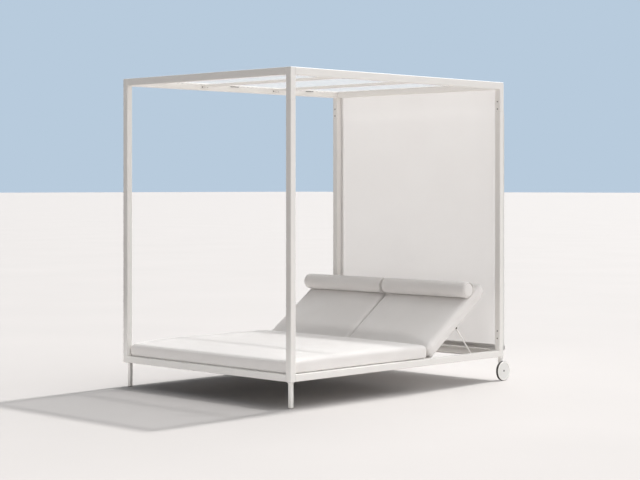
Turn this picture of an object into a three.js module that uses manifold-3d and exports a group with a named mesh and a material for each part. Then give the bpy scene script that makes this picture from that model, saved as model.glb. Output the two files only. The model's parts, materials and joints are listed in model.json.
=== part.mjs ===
// Outdoor daybed for two under a square-tube canopy, with two reclining backs, bolsters and two wheels.
// Millimetres. +X is the right-hand side, +Y the head end, +Z up; the floor is at zero.

import * as THREE from "three";
import { mergeVertices } from "three/addons/utils/BufferGeometryUtils.js";
import Module from "manifold-3d";

const wasm = await Module();
wasm.setup();

// Overall sizes of the frame, over its tubes
const WIDTH = 1670;
const LENGTH = 2160;
const HEIGHT = 2150;
const RAIL_TOP = 215;

// Square tube of the base, the corners and the posts
const TUBE = 45;
const TUBE_WALL = 2.5;
const TUBE_CORNER = 3;
const TOP_RAIL_HEIGHT = 50;
const CAP_PLATE = 3;
const SEAT = 0.3; // clearance where one piece butts or lies on another
const OVERRUN = 5; // how far a cutting tool passes a face

// Sleeve joints between the corners and the posts
const LOWER_SEAM_RISE = 157; // over the rail tops
const UPPER_SEAM_DROP = 210; // from the top of the frame
const SLEEVE_WALL = 3;
const SLEEVE_LENGTH = 170;
const SCREW_PITCH = 54;
const SCREW_FROM_SEAM = 17;
const SCREW_SHANK = 5;
const SCREW_HEAD = 9;
const SCREW_HEAD_HEIGHT = 2.2;
const SCREW_CLEARANCE = 0.4;

// Legs, and the glides plugged into the foot pair
const LEG = 25;
const LEG_CHAMFER = 2;
const LEG_INSET = 22.5;
const LEG_FLARE = 15;
const GLIDE_HEIGHT = 5;
const GLIDE_PLUG = 18;
const GLIDE_PLUG_HEIGHT = 24;
const WHEEL_LEG_INSET_SIDE = 1;
const WHEEL_LEG_INSET_HEAD = 10;
const WHEEL_LEG_BELOW_AXLE = 16;

// Wheels
const WHEEL_RADIUS = 70;
const TYRE_WIDTH = 17;
const TYRE_DEPTH = 12;
const TYRE_ROUND = 3;
const DISC_LIP = 10;
const DISC_FACE = 3.7;
const DISC_RIM = 8;
const DISC_RECESS = 1.6;
const DISC_WEB = 9;
const DISC_BOSS = 14;
const AXLE = 10;
const AXLE_HEAD = 14;
const AXLE_HEAD_HEIGHT = 2.6;
const AXLE_NUT = 17;
const AXLE_NUT_HEIGHT = 7;
const AXLE_FROM_HEAD = 29;
const WHEEL_SPACE = 7;
const RUNNING_FIT = 0.4;

// Roof: two crossbars with end plates, and a sheet that lies on them
const ROOF_BAR_WIDTH = 40;
const ROOF_BAR_HEIGHT = 20;
const ROOF_BAR_WALL = 2;
const ROOF_PLATE_WIDTH = 64;
const ROOF_PLATE_HEIGHT = 32;
const ROOF_PLATE = 3;
const ROOF_SHEET_DROP = 9; // from the top of the rails to the sheet over a bar
const ROOF_SHEET = 2;
const ROOF_SAG = 8;
const ROOF_SCALLOP = 12;
const ROOF_BAYS = 3;

// Back panel: a sheet with rolled side hems and a flat bar in its lower hem
const PANEL_SHEET = 2;
const PANEL_ROLL = 11;
const PANEL_TUCK_LOW_DROP = 256; // from the top of the frame
const PANEL_TUCK_HIGH_DROP = 164;
const PANEL_LAP = 36;
const PANEL_EDGE_INSET = 1;
const HEM_BAR_RISE = 7; // over the rail tops
const HEM_BAR_HEIGHT = 25;
const HEM_BAR_DEPTH = 10;
const HEM_BAR_ROUND = 3;

// Seat deck and the rail under the middle of the bed
const DECK_RISE = 2.5; // slat tops over the rail tops
const SLAT_WIDTH = 100;
const SLAT_THICKNESS = 8;
const SLAT_COUNT = 9;
const RUNNER_WIDTH = 20;
const RUNNER_HEIGHT = 22;
const CENTRE_RAIL_WIDTH = 40;
const CENTRE_RAIL_WALL = 2;

// Mattress
const MATTRESS_INSET = 20; // inside the outer faces of the side and foot rails
const MATTRESS_THICKNESS = 79;
const MATTRESS_CROWN = 9;
const MATTRESS_CORNER = 30;
const MATTRESS_RIM_LOW = 6;
const MATTRESS_RIM_HIGH = 18;
const MATTRESS_DRAW_IN = 5;
const MATTRESS_LIFT = 0.5;
const MATTRESS_TO_HINGE = 59;
const POST_NOTCH = 1.5;

// Backs: a welded bar frame hinged on one rod, with a pad and a bolster
const BACK_LENGTH = 700;
const BACK_TO_HEAD_RAIL = 5;
const BACK_BAR = 20;
const BACK_BAR_ROUND = 2;
const BACK_OUTER = 70; // inside the outer face of the side rail
const BACK_SPLIT = 6; // from the middle plane to each frame
const BACK_SLAT_WIDTH = 40;
const BACK_SLAT_THICKNESS = 8;
const BACK_FIRST_BAR = 30;
const BACK_BAR_COUNT = 7;
const BACK_ANGLE = 35.2;
const BACK_STEP_ANGLE = 9;
const BACK_MORE_ANGLE = 10;
const HINGE_ROD = 12;
const HINGE_GRIP = 8;
const SADDLE = 9;
const PAD_LENGTH = 742;
const PAD_THICKNESS = 79;
const PAD_CROWN = 4;
const PAD_CORNER = 34;
const PAD_RIM_LOW = 6;
const PAD_RIM_HIGH = 14;
const PAD_DRAW_IN = 4;
const PAD_SPLIT = 3;
const PAD_OVERHANG = 22; // past the outer side of its frame
const BOLSTER_RADIUS = 55.5;
const BOLSTER_DOME = 12;
const BOLSTER_SEAM = 2;
const BOLSTER_FROM_TOP = 142;
const BOLSTER_SINK = 8;
const BOLSTER_INSET = 3;

// Prop bails under the backs, and the toothed racks they rest on
const BAIL_ROD = 10;
const BAIL_BEND = 15;
const BAIL_AT = 360; // from the hinge rod to the bail's pivot
const BAIL_UNDER = 17; // below the middle of the back frame
const BAIL_LENGTH = 268;
const BAIL_FOOT_HEIGHT = 27; // over the underside of the rails, at the photographed angle
const BAIL_INNER_ARM = 30;
const BAIL_PIN = 20;
const LUG_RADIUS = 9;
const LUG_THICKNESS = 5;
const LUG_FROM_ARM = 6;
const RACK_PLATE = 6;
const RACK_FLANGE = 3;
const RACK_FROM_ARM = 22;
const RACK_NOTCH = 5;
const RACK_RAMP = 16;
const RACK_LEAD = 13;
const RACK_TAIL = 12;
const FOLD_CLEARANCE = 0.5;

// Fineness of round forms
const CORNER_STEPS = 1;
const ROUND_SIDES = 20;
const SMALL_SIDES = 8;
const WHEEL_SIDES = 28;
const BEND_STEPS = 4;
const RIM_STEPS = 3;
const PAD_CORNER_POINTS = 5;
const PAD_SIDE_POINTS = 6;

const SIDES = { left: -1, right: 1 };
const ENDS = { foot: -1, head: 1 };
const AXIS_Z = new THREE.Vector3(0, 0, 1);
const LAY = {
  x: new THREE.Matrix4().makeBasis(new THREE.Vector3(0, 1, 0), AXIS_Z, new THREE.Vector3(1, 0, 0)),
  y: new THREE.Matrix4().makeBasis(new THREE.Vector3(1, 0, 0), AXIS_Z, new THREE.Vector3(0, -1, 0)),
  z: new THREE.Matrix4(),
};

const FINISHES = {
  coat: { color: 0xf1ede5, roughness: 0.45, metalness: 0.15 },
  steel: { color: 0x4a4a48, roughness: 0.4, metalness: 0.8 },
  rubber: { color: 0x3c3a38, roughness: 0.85, metalness: 0 },
  plastic: { color: 0xe6e5e1, roughness: 0.5, metalness: 0 },
  glide: { color: 0x8d8b87, roughness: 0.7, metalness: 0 },
  canopy: { color: 0xf6f4f0, roughness: 0.9, metalness: 0 },
  panel: { color: 0xe6e3e0, roughness: 0.9, metalness: 0 },
  cover: { color: 0xdedad4, roughness: 0.95, metalness: 0 },
};

// Places worked out from the sizes above
const railMiddle = RAIL_TOP - TUBE / 2;
const railUnder = RAIL_TOP - TUBE;
const lowerSeam = RAIL_TOP + LOWER_SEAM_RISE;
const upperSeam = HEIGHT - UPPER_SEAM_DROP;
const innerX = WIDTH / 2 - TUBE;
const innerY = LENGTH / 2 - TUBE;
const hingeY = innerY - BACK_TO_HEAD_RAIL - BACK_LENGTH;
const hingeZ = RAIL_TOP - BACK_BAR / 2;
const backOuterX = WIDTH / 2 - BACK_OUTER;
const axleY = LENGTH / 2 - AXLE_FROM_HEAD;
const padFace = BACK_BAR / 2 + SEAT + PAD_THICKNESS;

const daybed = new THREE.Group();

const radians = (degrees) => THREE.MathUtils.degToRad(degrees);

// A closed geometry as a solid for joining and cutting.
function toSolid(geometry) {
  const bare = new THREE.BufferGeometry();
  bare.setAttribute("position", geometry.getAttribute("position"));
  bare.setIndex(geometry.index);
  const merged = mergeVertices(bare);
  return new wasm.Manifold(
    new wasm.Mesh({
      numProp: 3,
      vertProperties: new Float32Array(merged.getAttribute("position").array),
      triVerts: new Uint32Array(merged.index.array),
    }),
  );
}

function fromSolid(solid) {
  const mesh = solid.getMesh();
  const made = new THREE.BufferGeometry();
  made.setAttribute("position", new THREE.BufferAttribute(mesh.vertProperties, mesh.numProp));
  made.setIndex(new THREE.BufferAttribute(mesh.triVerts, 1));
  made.computeVertexNormals();
  return made;
}

const join = (...pieces) => fromSolid(pieces.map(toSolid).reduce((all, next) => all.add(next)));

const cut = (body, ...tools) =>
  fromSolid(tools.map(toSolid).reduce((left, tool) => left.subtract(tool), toSolid(body)));

// A rectangle with rounded corners, as a shape or as the path of a hole.
function roundedRect(width, height, radius, Outline = THREE.Shape) {
  const [x, y] = [width / 2 - radius, height / 2 - radius];
  const quarter = Math.PI / 2;
  const outline = new Outline();
  [[x, y], [-x, y], [-x, -y], [x, -y]].forEach(([cx, cy], turn) => {
    outline.absarc(cx, cy, radius, turn * quarter, (turn + 1) * quarter);
  });
  outline.closePath();
  return outline;
}

// An extrusion centred on the origin that runs along one axis.
function bar(shape, length, axis) {
  const settings = { depth: length, bevelEnabled: false, curveSegments: CORNER_STEPS };
  const made = new THREE.ExtrudeGeometry(shape, settings);
  return made.translate(0, 0, -length / 2).applyMatrix4(LAY[axis]);
}

const solidBar = (width, height, radius, length, axis) =>
  bar(roundedRect(width, height, radius), length, axis);

function hollowBar(width, height, radius, wall, length, axis) {
  const shape = roundedRect(width, height, radius);
  const inside = Math.max(radius - wall, radius / 2);
  shape.holes.push(roundedRect(width - 2 * wall, height - 2 * wall, inside, THREE.Path));
  return bar(shape, length, axis);
}

// A box between two corners.
function block(low, high) {
  const size = high.map((value, i) => value - low[i]);
  const middle = high.map((value, i) => (value + low[i]) / 2);
  return new THREE.BoxGeometry(...size).translate(...middle);
}

// A cylinder of the given diameter between two stations on an axis.
function pin(diameter, from, to, axis, sides = ROUND_SIDES) {
  const made = new THREE.CylinderGeometry(diameter / 2, diameter / 2, to - from, sides);
  made.translate(0, (from + to) / 2, 0);
  if (axis === "x") made.rotateZ(-Math.PI / 2);
  if (axis === "z") made.rotateX(Math.PI / 2);
  return made;
}

// A closed skin through rings of equal count, each anticlockwise seen from the last ring.
function loft(rings) {
  const count = rings[0].length;
  const points = rings.flat();
  const ends = [rings[0], rings[rings.length - 1]].map((ring) =>
    ring.reduce((sum, p) => sum.add(p), new THREE.Vector3()).divideScalar(count),
  );
  const first = points.length;
  const last = first + 1;
  const top = (rings.length - 1) * count;
  const faces = [];
  for (let j = 0; j < count; j++) {
    const k = (j + 1) % count;
    for (let row = 0; row < top; row += count) {
      faces.push(row + j, row + k, row + count + k, row + j, row + count + k, row + count + j);
    }
    faces.push(first, k, j, last, top + j, top + k);
  }
  return fromPoints([...points, ...ends], faces);
}

function fromPoints(points, faces) {
  const made = new THREE.BufferGeometry().setFromPoints(points);
  made.setIndex(faces);
  made.computeVertexNormals();
  return made;
}

// A closed sheet between two surfaces over the same grid; across the first, u by v faces out.
function sheet(columns, rows, front, back) {
  const points = [];
  for (const side of [front, back]) {
    for (const v of rows) {
      for (const u of columns) points.push(side(u, v));
    }
  }
  const across = columns.length;
  const layer = across * rows.length;
  const faces = [];
  const quad = (a, b, c, d) => faces.push(a, b, c, a, c, d);
  for (let j = 0; j + 1 < rows.length; j++) {
    for (let i = 0; i + 1 < across; i++) {
      const a = j * across + i;
      quad(a, a + 1, a + 1 + across, a + across);
      quad(layer + a, layer + a + across, layer + a + 1 + across, layer + a + 1);
    }
    const left = j * across;
    const right = left + across - 1;
    quad(left, left + across, layer + left + across, layer + left);
    quad(right + across, right, layer + right, layer + right + across);
  }
  const end = layer - across;
  for (let i = 0; i + 1 < across; i++) {
    quad(i + 1, i, layer + i, layer + i + 1);
    quad(end + i, end + i + 1, layer + end + i + 1, layer + end + i);
  }
  return fromPoints(points, faces);
}

const steps = (count) => Array.from({ length: count + 1 }, (_, i) => i / count);

function addPiece(group, name, geometry, finish, x = 0, y = 0, z = 0) {
  const mesh = new THREE.Mesh(geometry, new THREE.MeshStandardMaterial(FINISHES[finish]));
  mesh.name = name;
  mesh.position.set(x, y, z);
  group.add(mesh);
  return mesh;
}

// Base: four rails butted between corner tubes that stand up to the lower seam.
function addBaseRails() {
  const sideLength = 2 * innerY - 2 * SEAT;
  const endLength = 2 * innerX - 2 * SEAT;
  const endRail = () => hollowBar(TUBE, TUBE, TUBE_CORNER, TUBE_WALL, endLength, "x");
  for (const [side, sx] of Object.entries(SIDES)) {
    const tube = hollowBar(TUBE, TUBE, TUBE_CORNER, TUBE_WALL, sideLength, "y");
    const bore = pin(HINGE_ROD + 2 * RUNNING_FIT, TUBE_WALL, TUBE / 2 + OVERRUN, "x");
    if (sx > 0) bore.rotateZ(Math.PI);
    bore.translate(0, hingeY, hingeZ - railMiddle);
    addPiece(daybed, `base_rail_${side}`, cut(tube, bore), "coat", sx * (innerX + TUBE / 2), 0, railMiddle);
  }
  for (const [end, sy] of Object.entries(ENDS)) {
    addPiece(daybed, `base_rail_${end}`, endRail(), "coat", 0, sy * (innerY + TUBE / 2), railMiddle);
  }
}

// A corner tube from low to high, open at its seam, with two screw holes towards +Y.
function cornerTube(low, high, seam) {
  const shell = solidBar(TUBE, TUBE, TUBE_CORNER, high - low, "z").translate(0, 0, (low + high) / 2);
  const inside = TUBE / 2 - TUBE_WALL;
  const open = seam > (low + high) / 2;
  const hollow = block(
    [-inside, -inside, open ? low + CAP_PLATE : low - OVERRUN],
    [inside, inside, open ? high + OVERRUN : high - CAP_PLATE],
  );
  const holes = screwHeights(seam, open ? -1 : 1).map((z) =>
    pin(SCREW_SHANK + 2 * SCREW_CLEARANCE, inside - TUBE_WALL, TUBE / 2 + OVERRUN, "y", SMALL_SIDES)
      .translate(0, 0, z),
  );
  return cut(shell, hollow, ...holes);
}

const screwHeights = (seam, way) =>
  [SCREW_FROM_SEAM, SCREW_FROM_SEAM + SCREW_PITCH].map((far) => seam + way * far);

// The sleeve inside a seam, with its two button-head screws standing out towards +Y.
function sleeve(seam, way) {
  const outside = TUBE - 2 * TUBE_WALL - 2 * SEAT;
  const face = TUBE / 2 + SEAT;
  const tube = hollowBar(outside, outside, TUBE_CORNER / 2, SLEEVE_WALL, SLEEVE_LENGTH, "z");
  const screws = screwHeights(seam, way).flatMap((z) => [
    pin(SCREW_SHANK, outside / 2 - SLEEVE_WALL, face + SCREW_HEAD_HEIGHT / 2, "y", SMALL_SIDES)
      .translate(0, 0, z),
    pin(SCREW_HEAD, face, face + SCREW_HEAD_HEIGHT, "y", SMALL_SIDES).translate(0, 0, z),
  ]);
  return join(tube.translate(0, 0, seam), ...screws);
}

// The four uprights: corner tube, sleeve, post, sleeve and corner tube, screwed from inside the bed.
function addUprights() {
  for (const [end, sy] of Object.entries(ENDS)) {
    for (const [side, sx] of Object.entries(SIDES)) {
      const upright = new THREE.Group();
      upright.position.set(sx * (innerX + TUBE / 2), sy * (innerY + TUBE / 2), 0);
      upright.rotation.z = sy > 0 ? Math.PI : 0;
      daybed.add(upright);
      const corner = `${end}_${side}`;
      const post = upperSeam - lowerSeam - 2 * SEAT;
      addPiece(upright, `base_corner_${corner}`, cornerTube(railUnder, lowerSeam, lowerSeam), "coat");
      addPiece(upright, `lower_sleeve_${corner}`, sleeve(lowerSeam, -1), "steel");
      const tube = hollowBar(TUBE, TUBE, TUBE_CORNER, TUBE_WALL, post, "z");
      addPiece(upright, `post_${corner}`, tube, "coat", 0, 0, (lowerSeam + upperSeam) / 2);
      addPiece(upright, `upper_sleeve_${corner}`, sleeve(upperSeam, 1), "steel");
      addPiece(upright, `top_corner_${corner}`, cornerTube(upperSeam, HEIGHT, upperSeam), "coat");
    }
  }
}

function addTopRails() {
  const z = HEIGHT - TOP_RAIL_HEIGHT / 2;
  for (const [side, sx] of Object.entries(SIDES)) {
    const rail = hollowBar(TUBE, TOP_RAIL_HEIGHT, TUBE_CORNER, TUBE_WALL, 2 * innerY - 2 * SEAT, "y");
    addPiece(daybed, `top_rail_${side}`, rail, "coat", sx * (innerX + TUBE / 2), 0, z);
  }
  for (const [end, sy] of Object.entries(ENDS)) {
    const rail = hollowBar(TUBE, TOP_RAIL_HEIGHT, TUBE_CORNER, TUBE_WALL, 2 * innerX - 2 * SEAT, "x");
    addPiece(daybed, `top_rail_${end}`, rail, "coat", 0, sy * (innerY + TUBE / 2), z);
  }
}

// A square leg that flares into the underside of the rails; spread holds the flare on each side.
function flaredLeg(low, high, spread) {
  const half = LEG / 2;
  const ring = (z, flare) => {
    const grow = (limit) => half + Math.min(flare, limit);
    const [w, e, s, n] = [spread.west, spread.east, spread.south, spread.north].map(grow);
    const c = LEG_CHAMFER;
    return [
      [e, c - s], [e, n - c], [e - c, n], [c - w, n], [-w, n - c], [-w, c - s], [c - w, -s], [e - c, -s],
    ].map(([x, y]) => new THREE.Vector3(x, y, z));
  };
  const flareRings = steps(BEND_STEPS).map((share) => {
    const turn = (share * Math.PI) / 2;
    return ring(high - LEG_FLARE * (1 - Math.sin(turn)), LEG_FLARE * (1 - Math.cos(turn)));
  });
  return loft([ring(low, 0), ...flareRings]);
}

function addFootLegs() {
  const full = { west: LEG_FLARE, east: LEG_FLARE, south: LEG_FLARE, north: LEG_FLARE };
  const y = LEG_INSET + LEG / 2 - LENGTH / 2;
  const socket = GLIDE_PLUG / 2 + SEAT;
  for (const [side, sx] of Object.entries(SIDES)) {
    const x = sx * (WIDTH / 2 - LEG_INSET - LEG / 2);
    const leg = cut(
      flaredLeg(GLIDE_HEIGHT + SEAT, railUnder - SEAT, full),
      block([-socket, -socket, -OVERRUN], [socket, socket, GLIDE_HEIGHT + GLIDE_PLUG_HEIGHT + 2 * SEAT]),
    );
    addPiece(daybed, `foot_leg_${side}`, leg, "coat", x, y);
    const glide = join(
      solidBar(LEG, LEG, LEG_CHAMFER, GLIDE_HEIGHT, "z").translate(0, 0, GLIDE_HEIGHT / 2),
      block(
        [-GLIDE_PLUG / 2, -GLIDE_PLUG / 2, GLIDE_HEIGHT / 2],
        [GLIDE_PLUG / 2, GLIDE_PLUG / 2, GLIDE_HEIGHT + GLIDE_PLUG_HEIGHT],
      ),
    );
    addPiece(daybed, `foot_glide_${side}`, glide, "glide", x, y);
  }
}

// A revolved piece about the wheel's axle, from radius and station pairs.
function turned(profile, sides = WHEEL_SIDES) {
  const points = profile.map(([radius, along]) => new THREE.Vector2(radius, along));
  return new THREE.LatheGeometry(points, sides);
}

function tyre() {
  const out = WHEEL_RADIUS;
  const seat = WHEEL_RADIUS - TYRE_DEPTH;
  const edge = TYRE_ROUND * Math.SQRT1_2;
  return turned([
    [seat, 0],
    [out - TYRE_ROUND, 0],
    [out - TYRE_ROUND + edge, TYRE_ROUND - edge],
    [out, TYRE_ROUND],
    [out, TYRE_WIDTH - TYRE_ROUND],
    [out - TYRE_ROUND + edge, TYRE_WIDTH - TYRE_ROUND + edge],
    [out - TYRE_ROUND, TYRE_WIDTH],
    [seat, TYRE_WIDTH],
    [seat, 0],
  ]);
}

// The moulded disc: a seat for the tyre, a web and boss inside, and a face with a raised rim.
function wheelDisc() {
  const seat = WHEEL_RADIUS - TYRE_DEPTH - SEAT;
  const lip = seat + DISC_LIP;
  const bore = AXLE / 2 + RUNNING_FIT;
  const face = TYRE_WIDTH + SEAT;
  const front = face + DISC_FACE;
  const rim = lip - DISC_RIM;
  const floor = front - DISC_RECESS;
  const counterbore = AXLE_HEAD / 2 + RUNNING_FIT;
  const bottom = front - AXLE_HEAD_HEIGHT - RUNNING_FIT;
  return turned([
    [bore, 0],
    [DISC_BOSS, 0],
    [DISC_BOSS, face - DISC_WEB],
    [seat - DISC_RIM, face - DISC_WEB],
    [seat - DISC_RIM, 0],
    [seat, 0],
    [seat, face],
    [lip, face],
    [lip, front - DISC_RECESS],
    [lip - DISC_RECESS, front],
    [rim, front],
    [rim - DISC_RECESS, floor],
    [counterbore, floor],
    [counterbore, bottom],
    [bore, bottom],
    [bore, 0],
  ]);
}

// The shoulder bolt: nut behind the leg, spacer before it and a low head in the disc's face.
function axle() {
  const radius = AXLE / 2;
  const front = TYRE_WIDTH + SEAT + DISC_FACE;
  const legFace = -WHEEL_SPACE;
  return turned(
    [
      [0, legFace - LEG - SEAT - AXLE_NUT_HEIGHT],
      [AXLE_NUT / 2, legFace - LEG - SEAT - AXLE_NUT_HEIGHT],
      [AXLE_NUT / 2, legFace - LEG - SEAT],
      [radius, legFace - LEG - SEAT],
      [radius, legFace + SEAT],
      [AXLE_NUT / 2, legFace + SEAT],
      [AXLE_NUT / 2, -SEAT],
      [radius, -SEAT],
      [radius, front - AXLE_HEAD_HEIGHT],
      [AXLE_HEAD / 2, front - AXLE_HEAD_HEIGHT],
      [AXLE_HEAD / 2, front - DISC_RECESS],
      [AXLE_HEAD / 4, front],
      [0, front],
    ],
    ROUND_SIDES,
  );
}

function addWheels() {
  const legX = WIDTH / 2 - WHEEL_LEG_INSET_SIDE - LEG / 2;
  const legY = LENGTH / 2 - WHEEL_LEG_INSET_HEAD - LEG / 2;
  const wheelX = legX + LEG / 2 + WHEEL_SPACE;
  for (const [side, sx] of Object.entries(SIDES)) {
    const outward = WHEEL_LEG_INSET_SIDE;
    const spread = {
      west: sx > 0 ? LEG_FLARE : outward,
      east: sx > 0 ? outward : LEG_FLARE,
      south: LEG_FLARE,
      north: WHEEL_LEG_INSET_HEAD,
    };
    const bore = pin(AXLE + 2 * RUNNING_FIT, -LEG, LEG, "x").translate(0, axleY - legY, WHEEL_RADIUS);
    const leg = cut(flaredLeg(WHEEL_RADIUS - WHEEL_LEG_BELOW_AXLE, railUnder - SEAT, spread), bore);
    addPiece(daybed, `wheel_leg_${side}`, leg, "coat", sx * legX, legY);
    const hub = new THREE.Group();
    hub.position.set(sx * wheelX, axleY, WHEEL_RADIUS);
    hub.rotation.z = (-sx * Math.PI) / 2;
    daybed.add(hub);
    addPiece(hub, `tyre_${side}`, tyre(), "rubber");
    addPiece(hub, `wheel_disc_${side}`, wheelDisc(), "plastic");
    addPiece(hub, `axle_${side}`, axle(), "steel");
  }
}

// Roof: the crossbars stand at the thirds, and the sheet sags and draws in between them.
function addRoof() {
  const underside = HEIGHT - ROOF_SHEET_DROP;
  const barZ = underside - SEAT - ROOF_BAR_HEIGHT / 2;
  const reach = innerX - SEAT;
  for (const [end, sy] of Object.entries(ENDS)) {
    const tube = hollowBar(ROOF_BAR_WIDTH, ROOF_BAR_HEIGHT, TUBE_CORNER, ROOF_BAR_WALL, 2 * reach, "x");
    const plates = Object.values(SIDES).map((sx) =>
      solidBar(ROOF_PLATE_WIDTH, ROOF_PLATE_HEIGHT, TUBE_CORNER, ROOF_PLATE, "x")
        .translate(sx * (reach - ROOF_PLATE / 2), 0, (ROOF_BAR_HEIGHT - ROOF_PLATE_HEIGHT) / 2),
    );
    const vents = Object.values(SIDES).map((sx) =>
      pin(ROOF_BAR_HEIGHT / 2, sx * reach - ROOF_PLATE_WIDTH / 2, sx * reach + ROOF_PLATE_WIDTH / 2, "x"),
    );
    const y = (sy * LENGTH) / (2 * ROOF_BAYS);
    addPiece(daybed, `roof_bar_${end}`, cut(join(tube, ...plates), ...vents), "coat", 0, y, barZ);
  }
  const bay = (y) => Math.sin((ROOF_BAYS * Math.PI * (y + LENGTH / 2)) / LENGTH) ** 2;
  const place = (lift) => (u, v) => {
    const y = (2 * v - 1) * (innerY - SEAT);
    const x = (2 * u - 1) * (innerX - SEAT - ROOF_SCALLOP * bay(y));
    const middle = 1 - (2 * u - 1) ** 2;
    return new THREE.Vector3(x, y, underside - ROOF_SAG * bay(y) * middle + lift);
  };
  addPiece(daybed, "roof_sheet", sheet(steps(8), steps(24), place(ROOF_SHEET), place(0)), "canopy");
}

// Back panel: hangs down the outer faces of the head posts, tight at the top, on rolled hems below.
function addBackPanel() {
  const edge = WIDTH / 2 - PANEL_EDGE_INSET;
  const hemBarLow = RAIL_TOP + HEM_BAR_RISE;
  const low = hemBarLow + HEM_BAR_HEIGHT + SEAT;
  const tuckLow = HEIGHT - PANEL_TUCK_LOW_DROP;
  const tuckHigh = HEIGHT - PANEL_TUCK_HIGH_DROP;
  const high = HEIGHT - TOP_RAIL_HEIGHT + PANEL_LAP;
  const face = LENGTH / 2 + SEAT;
  const rollShares = [0, 0.15, 0.5, 0.85, 1];
  const columns = [
    ...rollShares.map((share) => share * PANEL_ROLL - edge),
    ...steps(6).map((share) => (2 * share - 1) * (edge - 3 * PANEL_ROLL)),
    ...rollShares.map((share) => edge - share * PANEL_ROLL).reverse(),
  ];
  const heights = [
    ...steps(8).map((share) => low + share * (tuckLow - low)),
    ...steps(4).slice(1).map((share) => tuckLow + share * (tuckHigh - tuckLow)),
    high,
  ];
  const roll = (x) => {
    const across = (2 * (edge - Math.abs(x))) / PANEL_ROLL - 1;
    return Math.abs(across) < 1 ? Math.sqrt(1 - across ** 2) : 0;
  };
  const tuck = (z) => 1 - THREE.MathUtils.smoothstep(z, tuckLow, tuckHigh);
  const place = (way) => (z, x) => {
    const middle = face + PANEL_SHEET / 2 + (tuck(z) * (PANEL_ROLL - PANEL_SHEET)) / 2;
    const half = Math.max(PANEL_SHEET, PANEL_ROLL * roll(x) * tuck(z)) / 2;
    return new THREE.Vector3(x, middle + way * half, z);
  };
  addPiece(daybed, "back_panel", sheet(heights, columns, place(1), place(-1)), "panel");
  const hemLength = 2 * edge;
  const strip = solidBar(HEM_BAR_DEPTH, HEM_BAR_HEIGHT, HEM_BAR_ROUND, hemLength, "x");
  addPiece(daybed, "hem_bar", strip, "coat", 0, face + HEM_BAR_DEPTH / 2, hemBarLow + HEM_BAR_HEIGHT / 2);
}

// Slatted deck: three runners under cross slats, inside the rails.
function addSeatDeck() {
  const top = RAIL_TOP + DECK_RISE;
  const slatLow = top - SLAT_THICKNESS;
  const reach = innerX - SEAT;
  const from = SEAT - innerY;
  const to = hingeY - MATTRESS_TO_HINGE - SLAT_THICKNESS;
  const runner = (x, low) =>
    block([x - RUNNER_WIDTH / 2, from, low], [x + RUNNER_WIDTH / 2, to, slatLow + SLAT_THICKNESS / 2]);
  const slats = steps(SLAT_COUNT - 1).map((share) => {
    const y = from + share * (to - from - SLAT_WIDTH);
    return block([-reach, y, slatLow], [reach, y + SLAT_WIDTH, top]);
  });
  const sideX = reach - RUNNER_WIDTH / 2;
  const sideLow = slatLow - RUNNER_HEIGHT;
  const runners = [runner(-sideX, sideLow), runner(0, centreRailTop() + SEAT), runner(sideX, sideLow)];
  addPiece(daybed, "seat_deck", join(...slats, ...runners), "coat");
}

const centreRailTop = () => hingeZ - BACK_BAR / 2 - FOLD_CLEARANCE;

// A filled pad, flat below: rounded rims, sides drawn in between the corners and a crowned top.
function pad({ width, length, thickness, crown, corner, rimLow, rimHigh, drawIn }) {
  const outline = (inset) => {
    const [x, y] = [width / 2 - inset, length / 2 - inset];
    const r = Math.max(corner - inset, corner / 4);
    const centres = [[x - r, y - r], [r - x, y - r], [r - x, r - y], [x - r, r - y]];
    return centres.flatMap(([cx, cy], quarter) => {
      const at = (share) => ((quarter + share) * Math.PI) / 2;
      const arc = steps(PAD_CORNER_POINTS - 1).map((share) => [
        cx + r * Math.cos(at(share)),
        cy + r * Math.sin(at(share)),
      ]);
      const from = arc[arc.length - 1];
      const next = centres[(quarter + 1) % centres.length];
      const to = [next[0] + r * Math.cos(at(1)), next[1] + r * Math.sin(at(1))];
      const side = steps(PAD_SIDE_POINTS + 1).slice(1, -1).map((share) => {
        const pull = drawIn * Math.sin(Math.PI * share);
        return [0, 1].map((i) => {
          const normal = i ? Math.sin(at(1)) : Math.cos(at(1));
          return from[i] + share * (to[i] - from[i]) - pull * normal;
        });
      });
      return [...arc, ...side];
    });
  };
  const ring = (z, inset, share = 1) =>
    outline(inset).map(([x, y]) => new THREE.Vector3(share * x, share * y, z));
  const low = steps(RIM_STEPS).map((share) => {
    const turn = (share * Math.PI) / 2;
    return ring(rimLow * (1 - Math.cos(turn)), rimLow * (1 - Math.sin(turn)));
  });
  const high = steps(RIM_STEPS).map((share) => {
    const turn = (share * Math.PI) / 2;
    return ring(thickness - rimHigh * (1 - Math.sin(turn)), rimHigh * (1 - Math.cos(turn)));
  });
  const topShares = [0.9, 0.7, 0.4, 0.1];
  const top = topShares.map((share) => ring(thickness + crown * (1 - share ** 2), rimHigh, share));
  return loft([...low, ...high, ...top]);
}

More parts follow.
